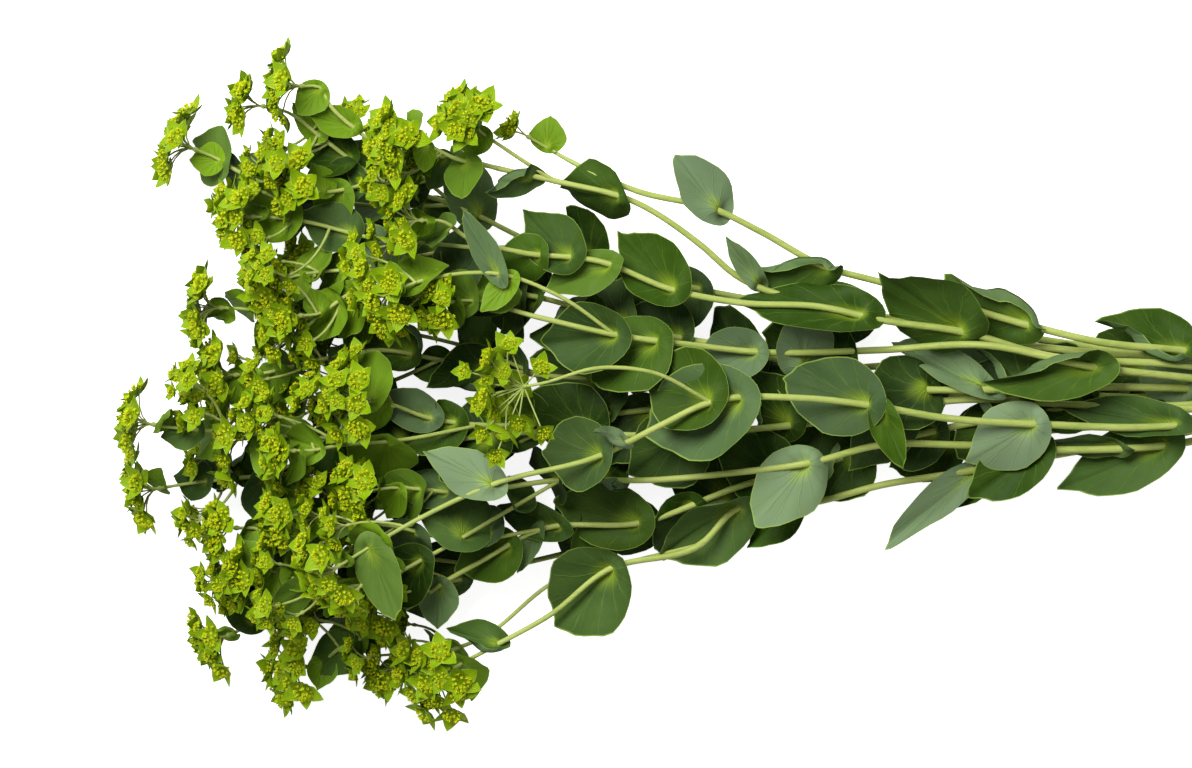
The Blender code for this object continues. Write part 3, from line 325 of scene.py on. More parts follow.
# The tie: stems lie in rows a pitch apart inside the band, and are cut a little past it.
TIE_X = 1330
TIE_Y = 392
TIE_REACH = 25
TIE_PITCH = 5.3
CUT_X = 1405
CUT_STAGGER = 6
BAND_INNER = 12.3
BAND_WALL = 1.4
BAND_SIDES = 24
BAND_OUTER = BAND_INNER + BAND_WALL
TIE_HEIGHT = BAND_OUTER * math.cos(math.pi / BAND_SIDES)


def lay_routes():
    """Every stem and branch, from the tie to its umbel's hub."""
    levels = Levels()
    routes = {}
    for name, ((row, column), points) in STEMS.items():
        route = Route(name, branch=False)
        side = layout(TIE_X, TIE_Y)[1] + column * TIE_PITCH
        tie = levels.new(TIE_HEIGHT + row * TIE_PITCH * math.sqrt(0.75), held=True)
        stagger = CUT_STAGGER * ((row + 2 * column) % 3)
        for x in (CUT_X + stagger, TIE_X - TIE_REACH):
            route.add(layout(x, 0)[0], side, tie, width_at(x))
        for x, y, height in points:
            route.add(*layout(x, y), levels.new(height), width_at(x))
        routes[name] = route
    for name, (parent, fork_x, points) in BRANCHES.items():
        stem = routes[parent]
        fork = [x for x, _, _ in STEMS[parent][1]].index(fork_x) + 2
        route = Route(parent, branch=True)
        route.add(*stem.flat[fork], stem.level[fork], BRANCH_WIDTH)
        for x, y, height in points:
            route.add(*layout(x, y), levels.new(height), BRANCH_WIDTH)
        routes[name] = route
    for carrier, (x, y, height), azimuth, lift, _, _ in UMBELS.values():
        route = routes[carrier]
        hub = levels.new(height)
        face = facing(azimuth, lift)
        flat = Vector(layout(x, y))
        route.add(*(flat - NECK * face.xy), hub, BRANCH_END_WIDTH, offset=-NECK * face.z)
        route.add(*flat, hub, BRANCH_END_WIDTH)
    return routes, levels


routes, levels = lay_routes()
print("routes:", len(routes), "levels:", len(levels.heights))

# %% Samples of stems and heads
SAMPLE_EVERY = 4.0
UMBEL_REACH = 12.0
HEAD_SHARE = 0.62


def samples_along(routes):
    """Places along the routes: x, y, the two levels, the share between them, offset, radius, node."""
    rows = []
    for route in routes.values():
        for i in range(len(route.flat) - 1):
            a, b = Vector(route.flat[i]), Vector(route.flat[i + 1])
            count = max(2, round((b - a).length / SAMPLE_EVERY))
            for k in range(count + 1):
                f = k / count
                spot = a.lerp(b, f)
                width = route.width[i] * (1 - f) + route.width[i + 1] * f
                offset = route.offset[i] * (1 - f) + route.offset[i + 1] * f
                rows.append((spot.x, spot.y, route.level[i], route.level[i + 1], f, offset,
                             width / 2, int(route.node[-2:])))
    return rows


def samples_of_heads(routes):
    """One ball for each umbel, smaller than its reach because umbels can mesh a little."""
    rows = []
    for carrier, _, azimuth, lift, radius, _ in UMBELS.values():
        route = routes[carrier]
        centre = Vector((*route.flat[-1], 0)) + UMBEL_REACH * facing(azimuth, lift)
        rows.append((centre.x, centre.y, route.level[-1], route.level[-1], 0.0, centre.z,
                     HEAD_SHARE * radius, int(route.node[-2:])))
    return rows


# %% Easing them apart
CLEARANCE = 0.6
STEM_FLOOR = 0.5
HEAD_FLOOR = 4.0
EASE_ROUNDS = 260
EASE_STEP = 1.2


def ease_apart(routes, levels):
    """Eases the heights until stems of different nodes, and heads, pass clear of each other.

    It gives how many millimetres the closest pair is still short of its clearance.
    """
    rows = samples_along(routes)
    stems_end = len(rows)
    rows += samples_of_heads(routes)
    table = np.array(rows)
    x, y, share, offset, radius, node = (table[:, i] for i in (0, 1, 4, 5, 6, 7))
    low, high = table[:, 2].astype(int), table[:, 3].astype(int)
    head = np.arange(len(rows)) >= stems_end
    reach = radius[:, None] + radius[None, :] + CLEARANCE
    gap = np.hypot(x[:, None] - x[None, :], y[:, None] - y[None, :])
    first, second = np.nonzero(np.triu(gap < reach, 1))
    both_heads = head[first] & head[second]
    both_stems = ~head[first] & ~head[second]
    keep = both_heads | (both_stems & (node[first] != node[second]))
    first, second = first[keep], second[keep]
    need = np.sqrt(reach[first, second] ** 2 - gap[first, second] ** 2)
    heights = np.array(levels.heights)
    free = ~np.array(levels.held)
    for _ in range(EASE_ROUNDS):
        z = heights[low] * (1 - share) + heights[high] * share + offset
        apart = z[first] - z[second]
        short = np.maximum(need - np.abs(apart), 0)
        push = np.where(apart >= 0, 0.5, -0.5) * short
        moved = np.zeros(len(heights))
        weight = np.zeros(len(heights))
        for index, sign in ((first, 1), (second, -1)):
            for end, part in ((low, 1 - share), (high, share)):
                np.add.at(moved, end[index], sign * push * part[index])
                np.add.at(weight, end[index], (short > 0) * part[index])
        floor = radius + np.where(head, HEAD_FLOOR, STEM_FLOOR)
        sunk = np.maximum(floor - z, 0)
        for end, part in ((low, 1 - share), (high, share)):
            np.add.at(moved, end, sunk * part)
            np.add.at(weight, end, (sunk > 0) * part)
        heights += free * EASE_STEP * moved / np.maximum(weight, 1e-6) * (weight > 1e-6)
    levels.heights = list(heights)
    return float(short.max())


short = ease_apart(routes, levels)
heights = levels.heights
print(f"eased apart to {short:.2f} mm short of the clearance")

# %% [markdown]
# ## Finding each blade in the solids
#
# Every blade was turned a little until it stood clear of its neighbours. Trying the same small
# turns again, and keeping the one whose corners lie on the corners of the solid, finds how each
# blade ended up, so that the thin blade made here lies inside the thick one.

# %% The outline of a blade
FULL_TURN = 2 * math.pi
TIP_SHARE = 0.82
TIP_POINT = 0.35


def blade_point(turn, width):
    """A point of the blade's outline, with the pierced point at 0, 0 and a length of 1."""
    along = TIP_SHARE - 0.5 + 0.5 * math.cos(turn)
    taper = 1 - TIP_POINT * max(0.0, math.cos(turn)) ** 2
    return along, 0.5 * width * math.sin(turn) * taper


def blade_axes(pierce, tip, roll):
    """The blade's own axes: along to the tip, across, and out of its upper face."""
    along = (tip - pierce).normalized()
    across = Vector((0, 0, 1)).cross(along).normalized()
    across = Matrix.Rotation(math.radians(roll), 3, along) @ across
    return along, across, along.cross(across)


def blade_corners(pierce, tip, width, roll, curl, sides):
    """The corners of a blade's outline, creased across so that its upper half curls."""
    length = (tip - pierce).length / TIP_SHARE
    along, across, out = blade_axes(pierce, tip, roll)
    crease, _ = blade_point(FULL_TURN * (sides // 4) / sides, width)
    corners = []
    for number in range(sides):
        u, v = blade_point(FULL_TURN * number / sides, width)
        rise = curl * max(0.0, u - crease)
        corners.append(pierce + length * (u * along + v * across + rise * out))
    return corners


# %% The turns that a blade was tried at
BLADE = 0.8
BLADE_FITS = 0.75
TRIAL_DROPS = (0, -4, 4, -9, 9, -15, 15)
TRIAL_ROLLS = (0, -12, 12, -25, 25, -40, 40)
TRIAL_SIZES = (1.0, 0.94, 0.86)


def leaf_trials():
    """Changes of the tip's drop, the roll and the size, with the slightest change first."""
    trials = [(drop, roll, size) for size in TRIAL_SIZES for drop in TRIAL_DROPS for roll in TRIAL_ROLLS]
    return sorted(trials, key=lambda trial: abs(trial[0]) / 6 + abs(trial[1]) / 18 + (1 - trial[2]) * 14)


TRIALS = leaf_trials()
print("turns tried for each blade:", len(TRIALS))


# %% The solids' corners
def corners_of(node):
    """A search tree of a solid's corners, in millimetres."""
    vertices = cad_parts[node].data.vertices
    tree = KDTree(len(vertices))
    for index, vertex in enumerate(vertices):
        tree.insert(vertex.co / METRES, index)
    tree.balance()
    return tree


def point_on(route, x, y):
    """The point of a route nearest to a layout point, a little inside one of its stretches."""
    spot = Vector(layout(x, y))
    points = route.points(heights)
    nearest, least = None, math.inf
    for a, b in zip(points, points[1:]):
        run = b.xy - a.xy
        share = 0.5 if run.length < 1e-6 else (spot - a.xy).dot(run) / run.length_squared
        point = a.lerp(b, min(max(share, 0.02), 0.98))
        gap = (point.xy - spot).length
        if gap < least:
            nearest, least = point, gap
    return nearest


def fitted_blade(tree, root, end, width, roll, curl, sides):
    """The tried turn whose corners lie nearest to the solid's, or None if the leaf isn't there."""
    found, least = None, BLADE_FITS
    for drop, turn, size in TRIALS:
        tip = root + (end - root) * size - Vector((0, 0, drop))
        tip.z = max(tip.z, 2 * BLADE)
        corners = blade_corners(root, tip, width, roll + turn, curl, sides)
        gaps = [tree.find(corner)[2] for corner in corners]
        middling = sorted(gaps)[len(gaps) // 2]
        if middling < least:
            found, least = (tip, roll + turn), middling
    return found


solid_corners = {name: corners_of(name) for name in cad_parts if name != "tie_band"}
print("corners of the solids:", sum(len(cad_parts[name].data.vertices) for name in solid_corners))

# %% Leaves that follow a rule
SPREAD_SEED = 11
LEAF_EVERY = 92
LEAF_CURL = 0.2
LISTED_NEAR = 24
FILLED = ("stem_05", "stem_09", "stem_10", "stem_11", "stem_12", "stem_13", "stem_14")
FILL_SIZES = ((300, 0.6), (520, 0.85), (900, 1.0))
UPPER_EDGE = ((330, 140), (480, 165), (650, 230), (850, 262), (1000, 300), (1192, 330), (1300, 360))
LOWER_EDGE = ((330, 640), (480, 600), (650, 560), (780, 525), (950, 505), (1192, 470), (1300, 430))


def inside_bunch(x, y):
    upper = np.interp(x, *zip(*UPPER_EDGE))
    lower = np.interp(x, *zip(*LOWER_EDGE))
    return upper < y < lower


def filling_leaves():
    """Leaves inside the bunch, along the stems that lie under the others, coloured near-black as painted
    shade.
    """
    rng = random.Random(SPREAD_SEED)
    rows = []
    for name in FILLED:
        points = STEMS[name][1]
        listed = [pierce for stem, pierce, *_ in LEAVES if stem == name]
        side = 1
        for (x0, y0, _), (x1, y1, _) in zip(points, points[1:]):
            count = max(1, round((x0 - x1) / LEAF_EVERY))
            for k in range(count):
                share = (k + 0.5) / count
                x, y = x0 + (x1 - x0) * share, y0 + (y1 - y0) * share
                side = -side
                turn = math.radians(rng.uniform(12, 55)) * side
                length = rng.uniform(62, 84) * float(np.interp(x, *zip(*FILL_SIZES)))
                drop = rng.uniform(-6, 12)
                width, roll = rng.uniform(0.75, 0.95), rng.uniform(-18, 18)
                if any(math.hypot(x - a, y - b) < LISTED_NEAR for a, b in listed):
                    continue
                heading = math.atan2(y1 - y0, x1 - x0) + turn
                tip = (x + length * math.cos(heading), y + length * math.sin(heading))
                if inside_bunch(*tip):
                    rows.append((name, (x, y), tip, drop, width, roll, LEAF_CURL, "deep"))
    return rows


# %% Leaves below the umbels
COLLAR_BACK = 17
COLLAR_LENGTH = 15
COLLAR_NEAR = 26


def collar_leaves():
    """A small leaf just below every second one of the umbels that have no leaf listed near."""
    rng = random.Random(SPREAD_SEED + 1)
    rows = []
    for carrier, (x, y, _), azimuth, _, _, _ in UMBELS.values():
        turn = math.radians(azimuth)
        back = Vector((x - COLLAR_BACK * math.cos(turn), y + COLLAR_BACK * math.sin(turn)))
        lean = turn + math.radians(rng.choice((-1, 1)) * rng.uniform(40, 85))
        length = 2 * COLLAR_LENGTH * rng.uniform(0.85, 1.15)
        tip = back + length * Vector((math.cos(lean), -math.sin(lean)))
        drop, width, roll = rng.uniform(-5, 6), rng.uniform(0.75, 0.95), rng.uniform(-30, 30)
        if any(math.hypot(back.x - a, back.y - b) < COLLAR_NEAR for _, (a, b), *_ in LEAVES):
            continue
        rows.append((carrier, tuple(back), tuple(tip), drop, width, roll, LEAF_CURL, "fresh"))
    return rows[::2]


# %% Finding every leaf
LEAF_POINTS = 8
COLLAR_POINTS = 6


def found_leaves():
    """Each leaf of the solids: node, root, tip, width, roll, curl and tone."""
    leaves = []
    listed = LEAVES + collar_leaves() + filling_leaves()
    for carrier, pierce, tip, drop, width, roll, curl, tone in listed:
        route = routes[carrier]
        root = point_on(route, *pierce)
        shift = root.xy - Vector(layout(*pierce))
        end = Vector((*(Vector(layout(*tip)) + shift), root.z - drop))
        small = (end - root).length < COLLAR_LENGTH * 1.2
        sides = COLLAR_POINTS if small else LEAF_POINTS
        fit = fitted_blade(solid_corners[route.node], root, end, width, roll, curl, sides)
        if fit:
            leaves.append((route.node, root, fit[0], width, fit[1], curl, tone))
    return leaves


leaves = found_leaves()
print("leaves found in the solids:", len(leaves))

# %% [markdown]
# ## More leaves and heads than the solids carry
#
# A real bunch holds more than its solids do: later and smaller heads on side branches, leafy
# bracts close under each hub, small leaves below them, and dark leaves low down between the
# stems, many of them near-black with painted shade. They could be scattered blindly, but then
# they would cut through each other. So each is tried at a few turns until it touches no solid
# and no other leaf, and it leaves open the gaps that the picture shows light through.

# %% The gaps that stay open
OPEN_GAPS = (
    (494, 602, 50), (647, 239, 44), (721, 234, 50), (525, 194, 36), (323, 159, 30), (543, 554, 22),
    (225, 496, 18), (479, 145, 20), (397, 367, 16), (862, 295, 18), (296, 235, 18), (316, 104, 16),
    (438, 544, 14), (700, 278, 14), (689, 321, 16), (846, 480, 14), (235, 333, 14), (592, 251, 16),
    (448, 210, 12), (226, 272, 14), (492, 224, 14), (444, 574, 12), (507, 213, 14), (157, 449, 14),
)
HEADS_UPPER = ((180, 250), (250, 160), (330, 110))
HEADS_LOWER = ((180, 560), (250, 620), (330, 690))
HEADS_LEFT = 185
HEADS_RIGHT = 400
FAN_FROM = 330


def is_open_gap(x, y, reach):
    return any(math.hypot(x - a, y - b) < radius + reach for a, b, radius in OPEN_GAPS)


def inside_heads(x, y):
    """Whether a spot lies among the flower heads, which fill the fan's left end."""
    upper = np.interp(x, *zip(*HEADS_UPPER))
    lower = np.interp(x, *zip(*HEADS_LOWER))
    return HEADS_LEFT < x < HEADS_RIGHT and upper < y < lower


def picture_place(point):
    """The layout place that a point lies above."""
    return MIDDLE[0] + point.x / STEP, MIDDLE[1] - point.y / STEP


def inside_fan(x, y):
    return inside_heads(x, y) if x < FAN_FROM else inside_bunch(x, y)


print("gaps that stay open:", len(OPEN_GAPS))

# %% Room between the solids
ROOT_SHARE = 0.3


class Room:
    """The solids and the leaves so far, so that another leaf can be set between them."""

    def __init__(self):
        self.trees = []
        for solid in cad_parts.values():
            points = [vertex.co / METRES for vertex in solid.data.vertices]
            faces = [tuple(face.vertices) for face in solid.data.polygons]
            self.trees.append(BVHTree.FromPolygons(points, faces))

    def takes(self, corners, root):
        """Whether a blade fits. The part near the stem that it grows on isn't looked at."""
        if min(corner.z for corner in corners) < BLADE:
            return False
        count = len(corners)
        inner = [root.lerp(corner, ROOT_SHARE) for corner in corners]
        faces = [(k, (k + 1) % count, count + (k + 1) % count, count + k) for k in range(count)]
        blade = BVHTree.FromPolygons(corners + inner, faces)
        if any(tree.overlap(blade) for tree in self.trees):
            return False
        self.trees.append(blade)
        return True


# %% Setting one more leaf
MORE_SEED = 5
SET_TRIALS = ((0, 0), (8, 0), (0, 25), (8, -25), (16, 0), (-8, 0), (16, 30), (24, 0), (24, -30))
SET_POINTS = 10
LOWEST_TIP = 2.0
GAP_AT_TIP = 0.2
GAP_AT_MIDDLE = 0.3
NEAR_HEADS = 360
SMALL_LEAF = 34


def set_leaf(room, carrier, x, y, heading, length, drop, width, roll, curl, tone):
    """Sets one more leaf on a stem, at the first turn that has room."""
    route = routes[carrier]
    root = point_on(route, x, y)
    x, y = picture_place(root)
    tip = (x + length * math.cos(heading), y + length * math.sin(heading))
    middle = ((x + tip[0]) / 2, (y + tip[1]) / 2)
    if is_open_gap(*tip, GAP_AT_TIP * length) or is_open_gap(*middle, GAP_AT_MIDDLE * length):
        return False
    if x < NEAR_HEADS and length > SMALL_LEAF and not (inside_fan(*tip) and inside_fan(*middle)):
        return False
    for more_drop, more_roll in SET_TRIALS:
        end = Vector((*layout(*tip), max(root.z - drop - more_drop, LOWEST_TIP)))
        if room.takes(blade_corners(root, end, width, roll + more_roll, curl, SET_POINTS), root):
            leaves.append((route.node, root, end, width, roll + more_roll, curl, tone))
            return True
    return False


# %% Side heads
# Umbels with a radius up to the small one's are buds, and the lone one stands open by itself.
SMALL_UMBEL = 10
LONE_UMBEL = 26
SIDE_RADIUS = 11.0
SIDE_RISE = 11.0
SIDE_TRIES = 40
SIDE_PER_UMBEL = 3
SIDE_BACK = (14, 85)
SIDE_SWING = (15, 60)
SIDE_LIFT = (-35, 40)
SIDE_STALK = (14, 34)
SIDE_GAP = 16
HIGHEST_SIDE = 96


def head_dummy(hub, face):
    """A coarse stand-in for the space that a side head fills, for the room test."""
    turn = face.to_track_quat("Z", "Y").to_matrix()
    ball = bmesh.new()
    bmesh.ops.create_icosphere(ball, subdivisions=1, radius=1)
    size = Vector((SIDE_RADIUS * 0.8, SIDE_RADIUS * 0.8, 5))
    middle = Vector((0, 0, SIDE_RISE * 0.7))
    points = [hub + turn @ (middle + corner.co * size) for corner in ball.verts]
    faces = [tuple(corner.index for corner in face.verts) for face in ball.faces]
    ball.free()
    return BVHTree.FromPolygons(points, faces)


def add_side_heads(room):
    """Later and smaller heads, on short side branches below the umbels, wherever one has room."""
    rng = random.Random(MORE_SEED + 3)
    side_heads = {}
    for name, (carrier, (x, y, _), azimuth, lift, radius, _) in UMBELS.items():
        side_heads[name] = []
        for _ in range(SIDE_TRIES if SMALL_UMBEL < radius < LONE_UMBEL else 0):
            back, turn = rng.uniform(*SIDE_BACK), math.radians(azimuth)
            root = point_on(routes[carrier], x - back * math.cos(turn), y + back * math.sin(turn))
            swing = rng.choice((-1, 1)) * rng.uniform(*SIDE_SWING)
            aim = facing(azimuth + swing, rng.uniform(*SIDE_LIFT))
            hub = root + aim * rng.uniform(*SIDE_STALK)
            face = (aim + facing(azimuth, lift + 15)).normalized()
            middle = hub + face * SIDE_RISE
            place = picture_place(middle)
            if not SIDE_RADIUS <= middle.z <= HIGHEST_SIDE:
                continue
            if is_open_gap(*place, SIDE_GAP) or not inside_heads(*place):
                continue
            dummy = head_dummy(hub, face)
            if any(tree.overlap(dummy) for tree in room.trees):
                continue
            room.trees.append(dummy)
            side_heads[name].append((root, hub, face))
            if len(side_heads[name]) == SIDE_PER_UMBEL:
                break
    return side_heads


room = Room()
side_heads = add_side_heads(room)
print("side heads:", sum(len(heads) for heads in side_heads.values()))


# %% Small leaves below the heads
HEAD_LEAF_REACH = 66
COLLAR_BRACTS = 4


def add_head_leaves(room):
    """Leafy bracts close under each hub, and small leaves further down its stalk."""
    rng = random.Random(MORE_SEED)
    count = 0
    for carrier, (x, y, _), azimuth, _, radius, _ in UMBELS.values():
        if not SMALL_UMBEL + 2 < radius < LONE_UMBEL:
            continue
        turn = math.radians(azimuth)
        for number in range(COLLAR_BRACTS):
            back, swing = rng.uniform(1, 7), rng.uniform(20, 110) * (1 if number % 2 else -1)
            base = (x - back * math.cos(turn), y + back * math.sin(turn))
            count += set_leaf(room, carrier, *base, -turn + math.radians(swing), rng.uniform(20, 34),
                              rng.uniform(-9, 9), rng.uniform(0.5, 0.75), rng.uniform(-60, 60), 0.35, "fresh")
        back = rng.uniform(12, 20)
        while back < HEAD_LEAF_REACH:
            base = (x - back * math.cos(turn), y + back * math.sin(turn))
            heading = -turn + rng.choice((-1, 1)) * math.radians(rng.uniform(15, 95))
            length = rng.uniform(24, 46)
            width, roll = rng.uniform(0.7, 1.0), rng.uniform(-50, 50)
            tone = rng.choice(("fresh", "fresh", "mid", "mid"))
            drop = rng.uniform(-10, 12)
            if set_leaf(room, carrier, *base, heading, length, drop, width, roll, 0.2, tone):
                count += 1
                back += rng.uniform(12, 20)
            back += rng.uniform(3, 7)
    return count


print("small leaves below the heads:", add_head_leaves(room))

# %% Closing the view through
ROOT_GAP = 5.5
DEEP_BELOW = 62.0
SIGHT_STEP = 8
SIGHT_TRIES = 60
SIGHT_REACH = 60
LONGEST = 92
FRESH_BEFORE = 380


def sees_floor(room, x, y):
    """Whether a look straight down here meets nothing before the floor."""
    eye = Vector((*layout(x, y), 300.0))
    return not any(tree.ray_cast(eye, Vector((0, 0, -1)))[0] for tree in room.trees)


def close_view(room):
    """Dark leaves low in the bunch, set wherever the floor would show between the stems. Some take the
    near-black tone of painted shade.
    """
    rng = random.Random(MORE_SEED + 2)
    spots = [(x, y) for x in range(170, 1190, SIGHT_STEP) for y in range(60, 720, SIGHT_STEP)
             if inside_fan(x, y) and not is_open_gap(x, y, 0)]
    rng.shuffle(spots)
    count = 0
    for x, y in spots:
        if not sees_floor(room, x, y):
            continue
        near = [name for name, route in routes.items()
                if (point_on(route, x, y).xy - Vector(layout(x, y))).length < SIGHT_REACH * STEP]
        for _ in range(SIGHT_TRIES if near else 0):
            carrier = rng.choice(near)
            root = point_on(routes[carrier], x + rng.uniform(-5, 48), y + rng.uniform(-30, 30))
            if x > FRESH_BEFORE and root.z > DEEP_BELOW:
                continue
            node = routes[carrier].node
            if any((leaf[1] - root).length < ROOT_GAP for leaf in leaves if leaf[0] == node):
                continue
            base = picture_place(root)
            away = math.hypot(x - base[0], y - base[1])
            length = max(away * rng.uniform(1.2, 1.9), rng.uniform(26, 36))
            heading = math.atan2(y - base[1], x - base[0]) + rng.uniform(-0.25, 0.25)
            tip = (base[0] + length * math.cos(heading), base[1] + length * math.sin(heading))
            if length > LONGEST * float(np.interp(x, *zip(*FILL_SIZES))) or not inside_fan(*tip):
                continue
            drop, width, roll = rng.uniform(-8, 24), rng.uniform(0.7, 1.0), rng.uniform(-30, 30)
            # Low leaves away from the heads take a dark tone, and the darkest of these is painted shade.
            tone = "fresh" if x < FRESH_BEFORE and root.z > 40 else rng.choice(("deep", "dark", "teal"))
            if set_leaf(room, carrier, *base, heading, length, drop, width, roll, 0.15, tone):
                count += 1
                break
    return count


print("dark leaves low in the bunch:", close_view(room))

# %% [markdown]
# ## A short way to wire up nodes
#
# Geometry Nodes and shaders are both graphs of small sums. Written out one node at a time they
# are hard to read, so a socket is wrapped in a small class that can be added and multiplied like
# a number, and one function adds a node, sets it, feeds it and hands back one of its outputs.

# %% Wires that can be summed
class Wire:
    """An output socket of a node tree."""

    def __init__(self, tree, socket):
        self.tree = tree
        self.socket = socket

    def sum(self, operation, *others):
        feeds = dict(enumerate((self, *others)))
        return put(self.tree, "ShaderNodeMath", feeds, give=0, operation=operation)

    def __add__(self, other):
        return self.sum("ADD", other)

    def __sub__(self, other):
        return self.sum("SUBTRACT", other)

    def __mul__(self, other):
        return self.sum("MULTIPLY", other)

    def __truediv__(self, other):
        return self.sum("DIVIDE", other)

    def __pow__(self, other):
        return self.sum("POWER", other)

    __radd__ = __add__
    __rmul__ = __mul__

    def __rsub__(self, other):
        return (self * -1.0) + other

    def between(self, low, high):
        """0 below low, 1 above high, and an even slope between them."""
        slope = (self - low) * (1.0 / (high - low))
        return slope.sum("MAXIMUM", 0.0).sum("MINIMUM", 1.0)


def socket_named(sockets, name):
    if isinstance(name, int):
        return sockets[name]
    return next(socket for socket in sockets if socket.name == name and socket.enabled)


def put(tree, kind, feeds=(), give=0, **settings):
    """Adds a node, sets it, feeds its inputs with wires or values, and gives one of its outputs."""
    node = tree.nodes.new(kind)
    for name, value in settings.items():
        setattr(node, name, value)
    for name, value in dict(feeds).items():
        socket = socket_named(node.inputs, name)
        if isinstance(value, Wire):
            tree.links.new(value.socket, socket)
        else:
            socket.default_value = value
    return Wire(tree, socket_named(node.outputs, give))


def with_group(tree, group, feeds, give):
    """Places a node group in a tree, feeds it, and gives one of its outputs."""
    kind = "ShaderNodeGroup" if tree.type == "SHADER" else "GeometryNodeGroup"
    return put(tree, kind, feeds, give, node_tree=group)


# %% Vectors on wires
def vector_of(tree, x, y, z):
    return put(tree, "ShaderNodeCombineXYZ", {"X": x, "Y": y, "Z": z}, give="Vector")


def parts_of(wire):
    """The X, Y and Z of a vector."""
    first = put(wire.tree, "ShaderNodeSeparateXYZ", {"Vector": wire}, give="X")
    outputs = first.socket.node.outputs
    return [Wire(wire.tree, outputs[axis]) for axis in ("X", "Y", "Z")]


def scaled(vector, factor):
    feeds = {0: vector, "Scale": factor}
    return put(vector.tree, "ShaderNodeVectorMath", feeds, give="Vector", operation="SCALE")


def summed(first, *others):
    for other in others:
        first = put(first.tree, "ShaderNodeVectorMath", {0: first, 1: other}, give="Vector", operation="ADD")
    return first


LEAST_HEIGHT = 0.0004


def above_floor(place):
    """The same place, lifted where it would lie below the floor."""
    x, y, z = parts_of(place)
    return vector_of(place.tree, x, y, z.sum("MAXIMUM", LEAST_HEIGHT))


# %% Trees and their sockets
def new_tree(kind, name, inputs=(), outputs=()):
    """A node tree with named sockets: (name, kind of socket, value)."""
    tree = bpy.data.node_groups.new(name, kind)
    for label, socket_kind, *value in inputs:
        socket = tree.interface.new_socket(label, in_out="INPUT", socket_type=socket_kind)
        if value:
            socket.default_value = value[0]
    for label, socket_kind in outputs:
        tree.interface.new_socket(label, in_out="OUTPUT", socket_type=socket_kind)
    return tree


def entry(tree, name):
    return put(tree, "NodeGroupInput", give=name)


def leave(tree, **results):
    node = tree.nodes.new("NodeGroupOutput")
    for name, wire in results.items():
        tree.links.new(wire.socket, node.inputs[name])


def geometry_tree(name, inputs=()):
    shape = ("Geometry", "NodeSocketGeometry")
    return new_tree("GeometryNodeTree", name, [shape, *inputs], [shape])


def named(tree, name, kind="FLOAT"):
    return put(tree, "GeometryNodeInputNamedAttribute", {"Name": name}, give="Attribute", data_type=kind)


def stored(tree, shape, name, value, kind="FLOAT", domain="POINT"):
    feeds = {"Geometry": shape, "Name": name, "Value": value}
    return put(tree, "GeometryNodeStoreNamedAttribute", feeds, give="Geometry", data_type=kind, domain=domain)


# %% Shapes on wires
def moved_to(tree, shape, place):
    feeds = {"Geometry": shape, "Position": place}
    return put(tree, "GeometryNodeSetPosition", feeds, give="Geometry")


def smoothed(tree, shape):
    feeds = {"Geometry": shape, "Shade Smooth": True}
    return put(tree, "GeometryNodeSetShadeSmooth", feeds, give="Geometry")


def realized(tree, copies):
    return put(tree, "GeometryNodeRealizeInstances", {"Geometry": copies}, give="Geometry")


def finished(tree, shape, material):
    feeds = {"Geometry": shape, "Material": material}
    return put(tree, "GeometryNodeSetMaterial", feeds, give="Geometry")


def joined(tree, shapes):
    node = tree.nodes.new("GeometryNodeJoinGeometry")
    for shape in shapes:
        tree.links.new(shape.socket, node.inputs["Geometry"])
    return Wire(tree, node.outputs["Geometry"])


# %% [markdown]
# ## Colours and finishes
#
# Bupleurum leaves have a waxy bloom. Old ones are dark green above and grey-green below, young
# ones yellow-green. Pale veins spread from the point where the stem pierces the blade, where the
# blade glows yellow-green, and a thin pale line runs round the margin. The veins follow the
# blade's own polar map, in which one number runs round the stem and the other out to the margin.
# All of it could be painted on an image, but an image would have to be drawn for every leaf. Here
# it is summed from a few nodes. The mottle is shared by several materials, and the veins by both
# faces of a blade, so each is a shader group.

# %% Shader helpers
def new_material(name):
    """A material and its shader, with the node tree to wire into."""
    material = bpy.data.materials.new(name)
    material.use_nodes = True
    return material, material.node_tree, material.node_tree.nodes["Principled BSDF"]


def into(tree, shader, name, wire):
    tree.links.new(wire.socket, shader.inputs[name])


def mixed(tree, share, first, second):
    feeds = {"Factor": share, "A": first, "B": second}
    return put(tree, "ShaderNodeMix", feeds, give="Result", data_type="RGBA")


def noise(tree, place, scale, detail=2.0):
    feeds = {"Vector": place, "Scale": scale, "Detail": detail}
    return put(tree, "ShaderNodeTexNoise", feeds, give="Fac")


def bumped(tree, height, distance):
    return put(tree, "ShaderNodeBump", {"Height": height, "Distance": distance}, give="Normal")


# %% The mottle group
def mottle_group():
    """Soft blotches over fine grain, from 0 to 1."""
    tree = new_tree("ShaderNodeTree", "mottle",
                    [("Place", "NodeSocketVector"), ("Blotches", "NodeSocketFloat", 60.0),
                     ("Grain", "NodeSocketFloat", 900.0)],
                    [("Mottle", "NodeSocketFloat")])
    place = entry(tree, "Place")
    blotches = noise(tree, place, entry(tree, "Blotches"), 3.0)
    grain = noise(tree, place, entry(tree, "Grain"))
    leave(tree, Mottle=blotches * 0.75 + grain * 0.25)
    return tree


mottle = mottle_group()


def mottled(tree, blotches, grain):
    place = put(tree, "ShaderNodeTexCoord", give="Object")
    feeds = {"Place": place, "Blotches": blotches, "Grain": grain}
    return with_group(tree, mottle, feeds, give="Mottle")


